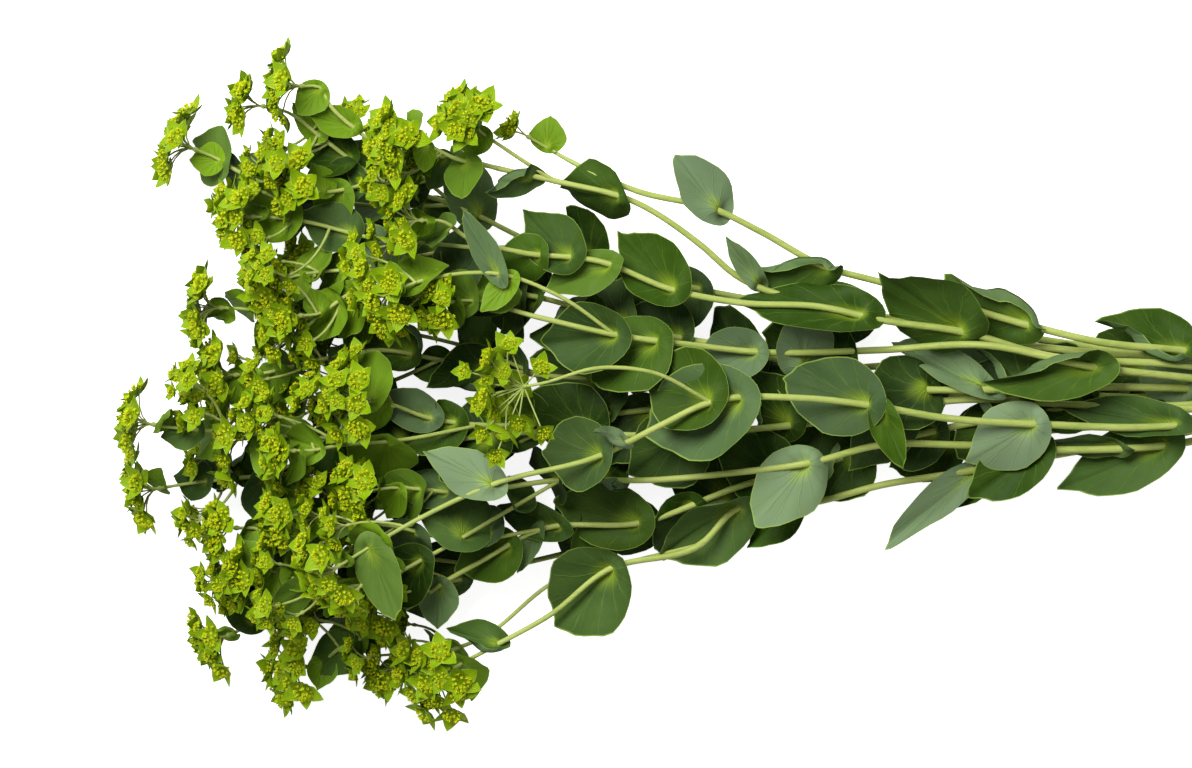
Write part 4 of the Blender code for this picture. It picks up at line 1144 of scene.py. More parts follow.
# %% The veins group
def veins_group():
    """Veins that spread from the pierced point: main ones, and branches nearer the margin."""
    tree = new_tree("ShaderNodeTree", "veins",
                    [("Turn", "NodeSocketFloat"), ("Share", "NodeSocketFloat"), ("Place", "NodeSocketVector"),
                     ("Count", "NodeSocketFloat", 13.0), ("Width", "NodeSocketFloat", 0.034)],
                    [("Veins", "NodeSocketFloat")])
    share, width, count = entry(tree, "Share"), entry(tree, "Width"), entry(tree, "Count")
    waver = noise(tree, entry(tree, "Place"), 130.0)
    turn = entry(tree, "Turn") + (waver - 0.5) * 0.035
    bend = (turn * FULL_TURN).sum("SINE") * share * 0.045
    rays = (turn - bend) * count
    main = (rays + 0.5).sum("FRACT") - 0.5
    main_line = 1.0 - (main.sum("ABSOLUTE") * share / width).between(0.0, 1.0)
    to_tip = ((turn + 0.5).sum("FRACT") - 0.5).sum("ABSOLUTE") * count
    midrib = 1.0 - (to_tip * share / (width * 1.5)).between(0.0, 1.0)
    spread = (share - 0.35).sum("MAXIMUM", 0.0)
    branch = ((rays + 0.5).sum("FRACT") - 0.5).sum("ABSOLUTE") - spread * 0.42
    branch_line = 1.0 - (branch.sum("ABSOLUTE") * share / (width * 0.6)).between(0.0, 1.0)
    branches = branch_line * (share - 0.35).between(0.0, 0.1) * 0.55
    fade = 1.0 - share * 0.6
    side_veins = main_line.sum("MAXIMUM", branches) * fade
    leave(tree, Veins=side_veins.sum("MAXIMUM", midrib * (1.35 - share)).sum("MINIMUM", 1.0))
    return tree


veins = veins_group()
print("shared shader groups:", mottle.name, veins.name)

# %% Leaf colours
DARK_GREEN = (0.030, 0.076, 0.004, 1)
# The darkest green is partly the leaves' own dark tone and partly painted shade for leaves low in the bunch.
DARKEST_GREEN_AND_SHADE = (0.007, 0.024, 0.001, 1)
GREY_GREEN = (0.152, 0.212, 0.128, 1)
FRESH_GREEN = (0.15, 0.27, 0.006, 1)
VEIN_GREEN = (0.20, 0.32, 0.045, 1)
GLOW_GREEN = (0.34, 0.48, 0.03, 1)
MARGIN_GREEN = (0.25, 0.37, 0.06, 1)

# How grey, how fresh and how light each tone is. The darkest tone is painted shade, a near-black green for
# leaves low in the bunch.
TONES = {
    "dark": (0.05, 0.05, 0.55),
    "deep": (0.0, 0.0, 0.15),
    "teal": (0.13, 0.0, 0.4),
    "grey": (0.42, 0.02, 0.8),
    "soft": (0.70, 0.04, 0.9),
    "pale": (1.0, 0.1, 1.0),
    "mid": (0.15, 0.35, 0.7),
    "fresh": (0.05, 0.72, 0.8),
    "lime": (0.0, 1.0, 1.0),
}
print("leaf tones:", ", ".join(TONES))


# %% Leaf finishes
def leaf_material(name, under):
    """The finish of a blade's upper or under face. The tone attribute holds grey, fresh, light, and the dark
    end of light is partly painted shade for leaves low in the bunch.
    """
    material, tree, shader = new_material(name)
    place = put(tree, "ShaderNodeTexCoord", give="Object")
    polar = put(tree, "ShaderNodeAttribute", give="Vector", attribute_name="blade")
    turn, share, _ = parts_of(polar)
    grey, fresh, light = parts_of(put(tree, "ShaderNodeAttribute", give="Vector", attribute_name="tone"))
    if under:
        grey = grey.sum("MAXIMUM", 0.0) * 0.5 + 0.4
        light = light * 0.6 + 0.4
    lines = with_group(tree, veins, {"Turn": turn, "Share": share, "Place": place}, give="Veins")
    blotches = mottled(tree, 70.0, 900.0)
    # Little light mixes towards the darkest green: the leaf's own dark tone, and painted shade for low
    # leaves.
    base = mixed(tree, light.between(0.1, 0.9), DARKEST_GREEN_AND_SHADE, DARK_GREEN)
    base = mixed(tree, grey, base, GREY_GREEN)
    base = mixed(tree, fresh, base, FRESH_GREEN)
    base = mixed(tree, (blotches - 0.35) * 0.3, base, VEIN_GREEN)
    glow = ((1.0 - share).between(0.58, 1.0) ** 1.9) * (0.6 if under else 0.95)
    base = mixed(tree, glow, base, GLOW_GREEN)
    base = mixed(tree, lines * (0.22 if under else 0.3), base, VEIN_GREEN)
    base = mixed(tree, share.between(0.975, 0.99) * 0.7, base, MARGIN_GREEN)
    into(tree, shader, "Base Color", base)
    into(tree, shader, "Roughness", blotches * 0.25 + (0.55 if under else 0.42))
    into(tree, shader, "Normal", bumped(tree, lines * 0.5 + blotches * 0.5, 0.0005))
    shader.inputs["Specular IOR Level"].default_value = 0.08
    return material


upper_face = leaf_material("leaf_upper_face", under=False)
under_face = leaf_material("leaf_under_face", under=True)
print("leaf finishes:", upper_face.name, under_face.name)

# %% [markdown]
# Stalks are smooth and waxy, streaked along their length. Noise stretched along X gives such
# streaks, since every stalk runs mostly that way. The cut ends show a pale pith.

# %% The stalks' finish
STALK_GREEN = (0.24, 0.315, 0.060, 1)
STALK_PALE = (0.38, 0.44, 0.115, 1)
STREAK_PALE = (0.47, 0.53, 0.16, 1)
PITH = (0.62, 0.68, 0.42, 1)
CUT_FROM = 0.310


def stalk_material():
    material, tree, shader = new_material("stalk_green")
    x, y, z = parts_of(put(tree, "ShaderNodeTexCoord", give="Object"))
    streaks = noise(tree, vector_of(tree, x * 0.12, y, z), 700.0, 3.0)
    blotches = mottled(tree, 35.0, 500.0)
    base = mixed(tree, blotches.between(0.3, 0.7), STALK_GREEN, STALK_PALE)
    base = mixed(tree, streaks.between(0.45, 0.75) * 0.4, base, STREAK_PALE)
    facing_x, _, _ = parts_of(put(tree, "ShaderNodeNewGeometry", give="Normal"))
    cut = facing_x.between(0.85, 0.9) * x.between(CUT_FROM, CUT_FROM + METRES)
    base = mixed(tree, cut, base, PITH)
    into(tree, shader, "Base Color", base)
    into(tree, shader, "Roughness", streaks * 0.2 + 0.35)
    into(tree, shader, "Normal", bumped(tree, streaks, 0.0003))
    shader.inputs["Specular IOR Level"].default_value = 0.15
    return material


stalk_green = stalk_material()
print("made:", stalk_green.name)

# %% [markdown]
# Bracts are small leaves of a brighter yellow-green, with a few fine veins and a pale edge.
# Florets are yellow at their petal tips and olive in the middle, which an attribute tells apart.

# %% The bracts' finish
BRACT_GREEN = (0.24, 0.36, 0.003, 1)
BRACT_DEEP = (0.16, 0.30, 0.002, 1)
BRACT_YELLOW = (0.29, 0.40, 0.006, 1)
BRACT_VEIN = (0.33, 0.43, 0.03, 1)
BRACT_EDGE = (0.42, 0.52, 0.09, 1)


def bract_material():
    material, tree, shader = new_material("bract_lime")
    polar = put(tree, "ShaderNodeAttribute", give="Vector", attribute_name="blade")
    across, share, _ = parts_of(polar)
    blotches = mottled(tree, 120.0, 1200.0)
    lines = ((across * 3.0 + 0.5).sum("FRACT") - 0.5).sum("ABSOLUTE").between(0.0, 0.12)
    margin = across.sum("ABSOLUTE").between(0.86, 0.97)
    base = mixed(tree, share, BRACT_GREEN, BRACT_DEEP)
    base = mixed(tree, blotches.between(0.35, 0.7) * 0.5, base, BRACT_YELLOW)
    base = mixed(tree, (1.0 - lines) * 0.25, base, BRACT_VEIN)
    base = mixed(tree, margin * 0.6, base, BRACT_EDGE)
    into(tree, shader, "Base Color", base)
    into(tree, shader, "Roughness", blotches * 0.2 + 0.42)
    into(tree, shader, "Normal", bumped(tree, lines, 0.0002))
    shader.inputs["Specular IOR Level"].default_value = 0.10
    return material


# %% The florets' finish
FLORET_OLIVE = (0.24, 0.33, 0.002, 1)
PETAL_YELLOW = (0.66, 0.68, 0.009, 1)
FLORET_SHADE = (0.38, 0.43, 0.004, 1)


def floret_material():
    material, tree, shader = new_material("floret_yellow")
    petal = put(tree, "ShaderNodeAttribute", give="Fac", attribute_name="petal")
    blotches = mottled(tree, 260.0, 2500.0)
    base = mixed(tree, petal, FLORET_OLIVE, PETAL_YELLOW)
    base = mixed(tree, blotches.between(0.4, 0.65) * 0.4, base, FLORET_SHADE)
    into(tree, shader, "Base Color", base)
    into(tree, shader, "Roughness", blotches * 0.2 + 0.5)
    into(tree, shader, "Normal", bumped(tree, blotches, 0.0002))
    shader.inputs["Specular IOR Level"].default_value = 0.15
    return material


bract_lime = bract_material()
floret_yellow = floret_material()
print("made:", bract_lime.name, floret_yellow.name)

# %% The band's finish
TAN_DARK = (0.50, 0.36, 0.19, 1)
TAN_LIGHT = (0.66, 0.54, 0.34, 1)


def band_material():
    """Matt tan rubber with a little dust."""
    material, tree, shader = new_material("band_tan_rubber")
    dust = mottled(tree, 220.0, 3000.0)
    into(tree, shader, "Base Color", mixed(tree, dust.between(0.35, 0.7), TAN_DARK, TAN_LIGHT))
    into(tree, shader, "Roughness", dust * 0.25 + 0.55)
    into(tree, shader, "Normal", bumped(tree, dust, 0.0002))
    return material


band_tan = band_material()
print("materials:", len(bpy.data.materials))

# %% [markdown]
# ## Chains of points for Geometry Nodes
#
# Geometry Nodes need something to grow on. Each stem becomes a chain of points joined by edges,
# with its thickness stored on each point, and each leaf a single loose point that stores how the
# leaf stands. A route's straight stretches are first drawn as one smooth line.

# %% Smooth lines
LINE_STEP = 4.0


def smooth_line(points, widths, spacing=LINE_STEP):
    """A smooth line through the points, sampled every few millimetres, with its widths."""
    runs = [b - a for a, b in zip(points, points[1:])]
    slopes = [run.normalized() for run in runs]
    heads = [slopes[0]]
    for (before, after), (a, b) in zip(zip(runs, runs[1:]), zip(slopes, slopes[1:])):
        heads.append((a * after.length + b * before.length).normalized())
    heads.append(slopes[-1])
    line, thick = [], []
    for i, run in enumerate(runs):
        reach = run.length
        count = max(2, round(reach / spacing))
        for k in range(count):
            f = k / count
            line.append(points[i] * (1 + 2 * f) * (1 - f) ** 2 + heads[i] * reach * f * (1 - f) ** 2
                        + points[i + 1] * f * f * (3 - 2 * f) + heads[i + 1] * reach * f * f * (f - 1))
            thick.append(widths[i] * (1 - f) + widths[i + 1] * f)
    return line + [points[-1]], thick + [widths[-1]]


# %% Objects that hold chains and loose points
def grown_from(name, points, edges, attributes):
    """An object of bare points and edges, in metres, with named attributes on its points."""
    mesh = bpy.data.meshes.new(name)
    mesh.from_pydata([point * METRES for point in points], edges, [])
    for label, values in attributes.items():
        flat = np.array([tuple(v) if isinstance(v, Vector) else v for v in values], np.float32)
        if flat.ndim == 2:
            mesh.attributes.new(label, "FLOAT_VECTOR", "POINT").data.foreach_set("vector", flat.ravel())
        else:
            mesh.attributes.new(label, "FLOAT", "POINT").data.foreach_set("value", flat)
    grown = bpy.data.objects.new(name, mesh)
    bpy.context.scene.collection.objects.link(grown)
    return grown


def triangles_of(piece):
    return sum(len(face.vertices) - 2 for face in piece.data.polygons)


def chain_edges(start, count):
    return [(start + k, start + k + 1) for k in range(count - 1)]


def made_by(tree, source, name, **values):
    """Runs a tree on an object, and keeps the result as a plain mesh object."""
    modifier = source.modifiers.new("grow", "NODES")
    modifier.node_group = tree
    for item in tree.interface.items_tree:
        if item.in_out == "INPUT" and item.name in values:
            modifier[item.identifier] = values[item.name]
    bpy.context.view_layer.update()
    mesh = bpy.data.meshes.new_from_object(source.evaluated_get(bpy.context.evaluated_depsgraph_get()))
    bpy.data.objects.remove(source)
    mesh.name = name
    piece = bpy.data.objects.new(name, mesh)
    bpy.context.scene.collection.objects.link(piece)
    return piece


# %% [markdown]
# ## Stalks and blades
#
# A stalk is a circle drawn along a chain. A blade is a flat sheet of squares bent into a polar
# fan: across the sheet runs round the stem, and up the sheet runs from the stem to the margin.
# An upper and an under copy bulge apart a third of a millimetre and meet again at the margin, so
# each blade is closed and thin-edged, as the real one is. A modelled leaf could be copied instead,
# but then all would be alike: here each has its own cup, fold, waves and curl. Some have an edge
# that flaps back and shows the grey under face, and a blade sags where its stalk runs over it.

# %% Round stalks
def round_stalks():
    """A tube along every chain, as thick as its points say."""
    tree = geometry_tree("round_stalks", [("Sides", "NodeSocketInt", 8)])
    curve = put(tree, "GeometryNodeMeshToCurve", {"Mesh": entry(tree, "Geometry")}, give="Curve")
    feeds = {"Resolution": entry(tree, "Sides"), "Radius": 1.0}
    ring = put(tree, "GeometryNodeCurvePrimitiveCircle", feeds, give="Curve", mode="RADIUS")
    feeds = {"Curve": curve, "Profile Curve": ring, "Scale": named(tree, "thick"), "Fill Caps": True}
    tube = put(tree, "GeometryNodeCurveToMesh", feeds, give="Mesh")
    leave(tree, Geometry=finished(tree, smoothed(tree, tube), stalk_green))
    return tree


stalks_tree = round_stalks()
print("nodes for round stalks:", len(stalks_tree.nodes))

# %% A blade's outline and rise
def blade_outline_wires(tree, turn):
    """The outline's along and across, from the turn round the pierced point."""
    angle = turn * FULL_TURN
    cosine, sine = angle.sum("COSINE"), angle.sum("SINE")
    phase = named(tree, "phase")
    ripple = (angle * 5.0 + phase).sum("SINE") * 0.018 + (angle * 11.0 + phase * 2.0).sum("SINE") * 0.010
    taper = ((angle * 0.5).sum("SINE") * math.sqrt(2)).sum("MINIMUM", 1.0) ** named(tree, "point")
    spike = (cosine.sum("MAXIMUM", 0.0) ** 30.0) * 0.035
    u = (cosine * 0.5 + spike + (TIP_SHARE - 0.5)) * (ripple + 1.0)
    v = sine * named(tree, "broad") * 0.5 * taper * (ripple + 1.0)
    return u, v


def blade_rise_wires(tree, turn, share, u, v):
    """How far the blade stands out of its plane: curl, cup, fold, twist, wave, hem, funnel, sag."""
    angle = turn * FULL_TURN
    phase = named(tree, "phase")
    past = u - (TIP_SHARE - 0.5)
    curl = named(tree, "curl") * ((past * past + 0.004).sum("SQRT") + past) * 0.5
    cup = named(tree, "cup") * v * v
    fold = named(tree, "fold") * v.sum("ABSOLUTE")
    ripple = (angle * 3.0 + phase).sum("SINE") + (angle * 7.0 - phase).sum("SINE") * 0.5
    wave = named(tree, "wave") * share * share * ripple
    twist = named(tree, "twist") * u * v
    hem = named(tree, "hem") * (share ** 6.0) * ((angle + phase).sum("SINE") + 0.3)
    pull_u, pull_v, _ = parts_of(named(tree, "pull", "FLOAT_VECTOR"))
    spread = (u * u + v * v) / (named(tree, "collar") * named(tree, "collar"))
    funnel = (pull_u * u + pull_v * v) * (spread * -0.5).sum("EXPONENT") * -1.3
    ahead = u.sum("MAXIMUM", 0.0)
    sag = named(tree, "sag") * ahead * ahead * -1.0
    return curl + cup + fold + wave + twist + hem + funnel + sag


# %% A blade's flap
FLAP_FROM = 0.72


def flap_wires(tree, turn, share):
    """Where a blade's edge folds back over itself: what is left of share, the rise, and the flip."""
    lean = (turn * FULL_TURN - named(tree, "flap_turn")).sum("COSINE").between(0.2, 0.8) * named(tree, "flap")
    past = (share - FLAP_FROM).sum("MAXIMUM", 0.0)
    is_past = past.between(0.0, 0.05)
    over = lean * math.pi
    left = share - past + past * over.sum("COSINE")
    rise = past * over.sum("SINE") * 0.5 + is_past * lean * 0.03
    return left, rise, 1.0 - is_past * lean.between(0.4, 0.6) * 2.0


# %% Blades on their points
BLADE_INPUTS = [("Around", "NodeSocketInt", 32), ("Rings", "NodeSocketInt", 8),
                ("Thickness", "NodeSocketFloat", 0.00035)]
RING_POWER = 1.5


def sheets_on(tree, grown):
    """A square sheet for every leaf's point, which knows its own turn and share everywhere."""
    around, rings = entry(tree, "Around") + 1.0, entry(tree, "Rings") + 1.0
    feeds = {"Size X": 1.0, "Size Y": 1.0, "Vertices X": around, "Vertices Y": rings}
    sheet = put(tree, "GeometryNodeMeshGrid", feeds, give="Mesh")
    turn, up, _ = parts_of(Wire(tree, sheet.socket.node.outputs["UV Map"]))
    polar = vector_of(tree, turn, up ** RING_POWER, 0.0)
    sheet = stored(tree, sheet, "blade", polar, kind="FLOAT2", domain="CORNER")
    x, y, _ = parts_of(put(tree, "GeometryNodeInputPosition", give="Position"))
    sheet = stored(tree, sheet, "turn", x + 0.5)
    sheet = stored(tree, sheet, "share", (y + 0.5).sum("MAXIMUM", 0.0) ** RING_POWER)
    is_leaf = named(tree, "leaf").sum("GREATER_THAN", 0.5)
    feeds = {"Points": grown, "Selection": is_leaf, "Instance": sheet}
    return realized(tree, put(tree, "GeometryNodeInstanceOnPoints", feeds, give="Instances"))


def closed_blades(tree, faces):
    """The two faces of each blade, merged at the margin, which stays a sharp edge."""
    feeds = {"Geometry": joined(tree, faces), "Distance": 2e-6}
    blades = smoothed(tree, put(tree, "GeometryNodeMergeByDistance", feeds, give="Geometry"))
    margin = named(tree, "share").sum("GREATER_THAN", 0.999)
    feeds = {"Geometry": blades, "Selection": margin, "Shade Smooth": False}
    return put(tree, "GeometryNodeSetShadeSmooth", feeds, give="Geometry", domain="EDGE")


def leafy_stem_tree():
    tree = geometry_tree("leafy_stem", [("Sides", "NodeSocketInt", 10), *BLADE_INPUTS])
    grown = entry(tree, "Geometry")
    stalks = with_group(tree, stalks_tree, {"Geometry": grown, "Sides": entry(tree, "Sides")}, "Geometry")
    sheets = sheets_on(tree, grown)
    turn, share = named(tree, "turn"), named(tree, "share")
    left, flap_rise, flip = flap_wires(tree, turn, share)
    u, v = blade_outline_wires(tree, turn)
    u, v = u * left, v * left
    rise = blade_rise_wires(tree, turn, left, u, v) + flap_rise
    size = named(tree, "size")
    bulge = (1.0 - share * share).sum("MAXIMUM", 0.0).sum("SQRT")
    bulge = bulge * entry(tree, "Thickness") * 0.5 * flip
    flat = summed(named(tree, "root", "FLOAT_VECTOR"),
                  scaled(named(tree, "along", "FLOAT_VECTOR"), u * size),
                  scaled(named(tree, "across", "FLOAT_VECTOR"), v * size))
    out = named(tree, "out", "FLOAT_VECTOR")
    upper = moved_to(tree, sheets, above_floor(summed(flat, scaled(out, rise * size + bulge))))
    upper = put(tree, "GeometryNodeFlipFaces", {"Mesh": upper}, give="Mesh")
    under = moved_to(tree, sheets, above_floor(summed(flat, scaled(out, rise * size - bulge))))
    faces = (finished(tree, upper, upper_face), finished(tree, under, under_face))
    leave(tree, Geometry=joined(tree, (stalks, closed_blades(tree, faces))))
    return tree


leafy_tree = leafy_stem_tree()
print("nodes for a leafy stem:", len(leafy_tree.nodes))

# %% [markdown]
# ## Growing the leafy stems
#
# Each of the fourteen leafy stems is one piece: its main stalk, its branches and its leaves. The
# stalk swells a little where a leaf or a branch leaves it. Python works out what each leaf needs
# to know and stores it on the leaf's point, and the node tree turns those numbers into a blade.

# %% How one blade is shaped
FOLDED_BELOW = 0.5
FLAPPED_CURL = 0.24
FLAPPED_SHARE = 0.35


def leaf_shape_values(rng, width, curl, tone, small):
    """How one blade is cupped, folded, waved and pointed, and whether an edge folds right over."""
    folded = width < FOLDED_BELOW
    flapped = not small and (curl > FLAPPED_CURL or (tone == "deep" and rng.random() < FLAPPED_SHARE))
    return {
        "cup": rng.uniform(0.2, 0.8) * (1 if rng.random() < 0.65 else -0.7),
        "fold": rng.uniform(0.35, 0.6) if folded else rng.choice((0.0, 0.08, 0.16, 0.3, -0.14)),
        "wave": rng.uniform(0.014, 0.036) * (0.7 if small else 1.0),
        "twist": rng.uniform(-0.5, 0.5),
        "hem": rng.uniform(-0.05, 0.07),
        "phase": rng.uniform(0, FULL_TURN),
        "point": rng.uniform(0.35, 0.75),
        "flap": rng.uniform(0.75, 0.95) if flapped else 0.0,
        "flap_turn": rng.choice((-1, 1)) * math.radians(rng.uniform(35, 110)),
    }


# %% Where a blade meets its stalk
SAG_LIMIT = 0.18


def nearest_on_chain(points, root):
    """The chain's point nearest to a root, and the way that the chain grows there."""
    order = min(range(len(points) - 1), key=lambda k: (points[k] - root).length)
    after = min(order + 1, len(points) - 1)
    before = max(order - 1, 0)
    return order, (points[after] - points[before]).normalized()


def collar_values(along, across, out, growth, radius, size):
    """How the blade funnels where the stalk comes through it, and how wide that funnel is."""
    side = 1.0 if growth.dot(out) > 0 else -1.0
    pull = Vector((growth.dot(along), growth.dot(across), 0)) * side
    return {"pull": pull, "collar": 2.0 * radius / size}


def sag_value(stalk, root, axes, length, curl, radius):
    """How far a blade bends down so that the stalk past it runs over it and not through it."""
    deepest = 0.0
    for point in stalk:
        u, v, rise = ((point - root).dot(axis) / length for axis in axes)
        if 0.12 < u < 0.85 and abs(v) < 0.22 and abs(rise) < 0.25:
            past = u - (TIP_SHARE - 0.5)
            lift = curl * (math.sqrt(past * past + 0.004) + past) / 2
            deepest = max(deepest, (radius / length + 0.01 + lift - rise) / (u * u))
    return min(deepest, SAG_LIMIT)


def toned(rng, tone):
    """A tone, changed a little, so that no two leaves are quite the same green."""
    grey, fresh, light = TONES[tone]
    grey += rng.uniform(-0.14, 0.14)
    fresh += rng.uniform(-0.05, 0.07)
    return Vector((grey, fresh, light + rng.uniform(-0.2, 0.2)))


# %% The chains of one stem
ROD_SHARE = 0.84
SWELL = 0.12
SWELL_REACH = 3.5


def stalk_chains(node, joints):
    """The points, edges and thicknesses of a stem and its branches, swollen at its joints."""
    points, edges, thick = [], [], []
    for route in (route for route in routes.values() if route.node == node):
        line, widths = smooth_line(route.points(heights), route.width)
        edges += chain_edges(len(points), len(line))
        points += line
        for spot, width in zip(line, widths):
            near = min((spot - joint).length for joint in joints)
            swollen = 1 + SWELL * math.exp(-(near / SWELL_REACH) ** 2)
            thick.append(METRES * ROD_SHARE * width / 2 * swollen)
    return points, edges, thick


# %% Leafy stems
LEAF_SEED = 31


def grow_leafy_stem(node, number):
    """One leafy stem from its routes and its leaves."""
    rng = random.Random(LEAF_SEED + number)
    own = [leaf for leaf in leaves if leaf[0] == node]
    joints = [leaf[1] for leaf in own]
    joints += [route.points(heights)[0] for route in routes.values() if route.node == node and route.branch]
    points, edges, thick = stalk_chains(node, joints)
    stalk_count = len(points)
    rows = []
    for _, root, tip, width, roll, curl, tone in own:
        along, across, out = blade_axes(root, tip, roll)
        size = (tip - root).length / TIP_SHARE * METRES
        order, growth = nearest_on_chain(points[:stalk_count], root)
        stalk = points[order:stalk_count] if growth.dot(along) > 0.3 else []
        sag = sag_value(stalk, root, (along, across, out), size / METRES, curl, thick[order] / METRES)
        rows.append({"leaf": 1.0, "root": root * METRES, "along": along, "across": across, "out": out,
                     "size": size, "broad": width, "curl": curl, "sag": sag, "tone": toned(rng, tone),
                     **leaf_shape_values(rng, width, curl, tone, size < 0.02),
                     **collar_values(along, across, out, growth, thick[order], size)})
        points.append(root)
    nothing = {key: Vector() if isinstance(value, Vector) else 0.0 for key, value in rows[0].items()}
    attributes = {key: [nothing[key]] * stalk_count + [row[key] for row in rows] for key in nothing}
    attributes["thick"] = thick + [0.0] * len(rows)
    source = grown_from(node + "_source", points, edges, attributes)
    piece = made_by(leafy_tree, source, "leafy_" + node)
    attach(piece, "root")
    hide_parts(node)
    return piece


stem_pieces = [grow_leafy_stem(f"stem_{number:02d}", number) for number in range(1, 15)]
print("leafy stems:", len(stem_pieces))
print("triangles in the leafy stems:", sum(triangles_of(piece) for piece in stem_pieces))

# %% [markdown]
# ## Umbels
#
# An umbel is a burst of thin rays from one hub. Each ray ends in an umbellule: five pointed
# bracts round a tight dome of about twenty florets. Some sixteen thousand florets can't be placed
# by hand, so one bract and one floret are modelled and Geometry Nodes set them out, each at its
# own size and turn. The rays that the solids have are found in them, and smaller ones are added
# between.

# %% One floret
FLORET_SIDES = 10
FLORET_RADIUS = 0.95
FLORET_NOTCH = 0.45
FLORET_STALK = 2.4


def floret_pattern():
    """A funnel on a pointed stalk, with five petal tips raised round a sunken middle."""
    shape = bmesh.new()
    bmesh.ops.create_cone(shape, cap_ends=True, cap_tris=True, segments=FLORET_SIDES, radius1=0.0,
                          radius2=FLORET_RADIUS, depth=FLORET_STALK)
    bmesh.ops.remove_doubles(shape, verts=shape.verts, dist=1e-4)
    rim = sorted((v for v in shape.verts if v.co.xy.length > 0.5), key=lambda v: math.atan2(v.co.y, v.co.x))
    for number, vertex in enumerate(rim):
        if number % 2:
            vertex.co.xy *= FLORET_NOTCH / FLORET_RADIUS
        else:
            vertex.co.z += 0.35
    middle = max((v for v in shape.verts if v.co.xy.length < 0.1), key=lambda v: v.co.z)
    middle.co.z -= 0.15
    for vertex in shape.verts:
        vertex.co.z += FLORET_STALK / 2
    bmesh.ops.recalc_face_normals(shape, faces=shape.faces)
    bmesh.ops.scale(shape, vec=(METRES,) * 3, verts=shape.verts)
    mesh = bpy.data.meshes.new("floret")
    shape.to_mesh(mesh)
    shape.free()
    petal = [min(1.0, vertex.co.xy.length / METRES / FLORET_RADIUS) for vertex in mesh.vertices]
    mesh.attributes.new("petal", "FLOAT", "POINT").data.foreach_set("value", petal)
    return mesh


# %% One bract
BRACT_ROWS = ((0.0, 0.14), (0.18, 0.42), (0.45, 0.5), (0.76, 0.27), (1.0, 0.0))
BRACT_LENGTH = 11.4
BRACT_WIDTH = 8.4
BRACT_THICK = 0.3
BRACT_LIFT = 1.6
BRACT_KEEL = 0.8


def bract_row(shape, along, half):
    """Four corners across a bract: left edge, upper middle, right edge, lower middle."""
    x = along * BRACT_LENGTH
    lift = BRACT_LIFT * along * along
    keel = lift - BRACT_KEEL * math.sin(math.pi * along)
    if not half:
        return [shape.verts.new((x, 0, lift))] * 4
    y = half * BRACT_WIDTH
    spots = ((x, -y, lift), (x, 0, keel), (x, y, lift), (x, 0, keel - BRACT_THICK))
    return [shape.verts.new(spot) for spot in spots]


def bract_pattern():
    """A pointed blade keeled along its middle, lying along +X, with its tip turned up a little."""
    shape = bmesh.new()
    rows = [bract_row(shape, along, half) for along, half in BRACT_ROWS]
    shape.faces.new(rows[0])
    for row, after in zip(rows, rows[1:]):
        for a in range(4):
            b = (a + 1) % 4
            shape.faces.new(list(dict.fromkeys((row[a], row[b], after[b], after[a]))))
    bmesh.ops.recalc_face_normals(shape, faces=shape.faces)
    polar = shape.loops.layers.uv.new("blade")
    for face in shape.faces:
        for loop in face.loops:
            half = np.interp(loop.vert.co.x / BRACT_LENGTH, *zip(*BRACT_ROWS)) * BRACT_WIDTH
            loop[polar].uv = (loop.vert.co.y / max(half, 0.01), loop.vert.co.x / BRACT_LENGTH)
    bmesh.ops.scale(shape, vec=(METRES,) * 3, verts=shape.verts)
    mesh = bpy.data.meshes.new("bract")
    shape.to_mesh(mesh)
    shape.free()
    mesh.shade_smooth()
    mesh.set_sharp_from_angle(angle=math.radians(80))
    return mesh


def pattern_object(name, mesh):
    pattern = bpy.data.objects.new(name, mesh)
    bpy.context.scene.collection.objects.link(pattern)
    return pattern


floret = pattern_object("floret_pattern", floret_pattern())
bract = pattern_object("bract_pattern", bract_pattern())
print("one floret:", len(floret.data.polygons), "faces; one bract:", len(bract.data.polygons), "faces")


# %% Draws and turns
def drawn(tree, low, high, seed):
    """A random number for each point, from the tree's seed."""
    feeds = {"Min": low, "Max": high, "Seed": entry(tree, "Seed") + float(seed)}
    return put(tree, "FunctionNodeRandomValue", feeds, give="Value", data_type="FLOAT")


def rotation_of(tree, angles):
    return put(tree, "FunctionNodeEulerToRotation", {"Euler": angles}, give="Rotation")


def turned_by(tree, rotation, x=0.0, y=0.0, z=0.0):
    more = rotation_of(tree, vector_of(tree, x, y, z))
    feeds = {"Rotation": rotation, "Rotate By": more}
    return put(tree, "FunctionNodeRotateRotation", feeds, give="Rotation", rotation_space="LOCAL")


# %% Spots and copies
def spots_on(tree, heads, count, place):
    """Points set out on every head, each of which knows its head's middle, turn and size."""
    cloud = put(tree, "GeometryNodePoints", {"Count": count}, give="Points")
    index = put(tree, "GeometryNodeInputIndex", give="Index")
    cloud = moved_to(tree, stored(tree, cloud, "number", index * 1.0), place)
    size = named(tree, "size")
    feeds = {"Points": heads, "Selection": named(tree, "head").sum("GREATER_THAN", 0.5), "Instance": cloud,
             "Rotation": rotation_of(tree, named(tree, "turned", "FLOAT_VECTOR")),
             "Scale": vector_of(tree, size, size, size)}
    return realized(tree, put(tree, "GeometryNodeInstanceOnPoints", feeds, give="Instances"))


def copies_on(tree, spots, pattern, rotation, size, material):
    """A copy of the pattern on every spot, made real, with its material."""
    shape = put(tree, "GeometryNodeObjectInfo", {"Object": entry(tree, pattern)}, give="Geometry")
    feeds = {"Points": spots, "Instance": shape, "Rotation": rotation,
             "Scale": vector_of(tree, size, size, size)}
    copies = realized(tree, put(tree, "GeometryNodeInstanceOnPoints", feeds, give="Instances"))
    return finished(tree, copies, material)


# %% Florets and bracts of an umbellule
GOLDEN_TURN = math.pi * (3 - math.sqrt(5))


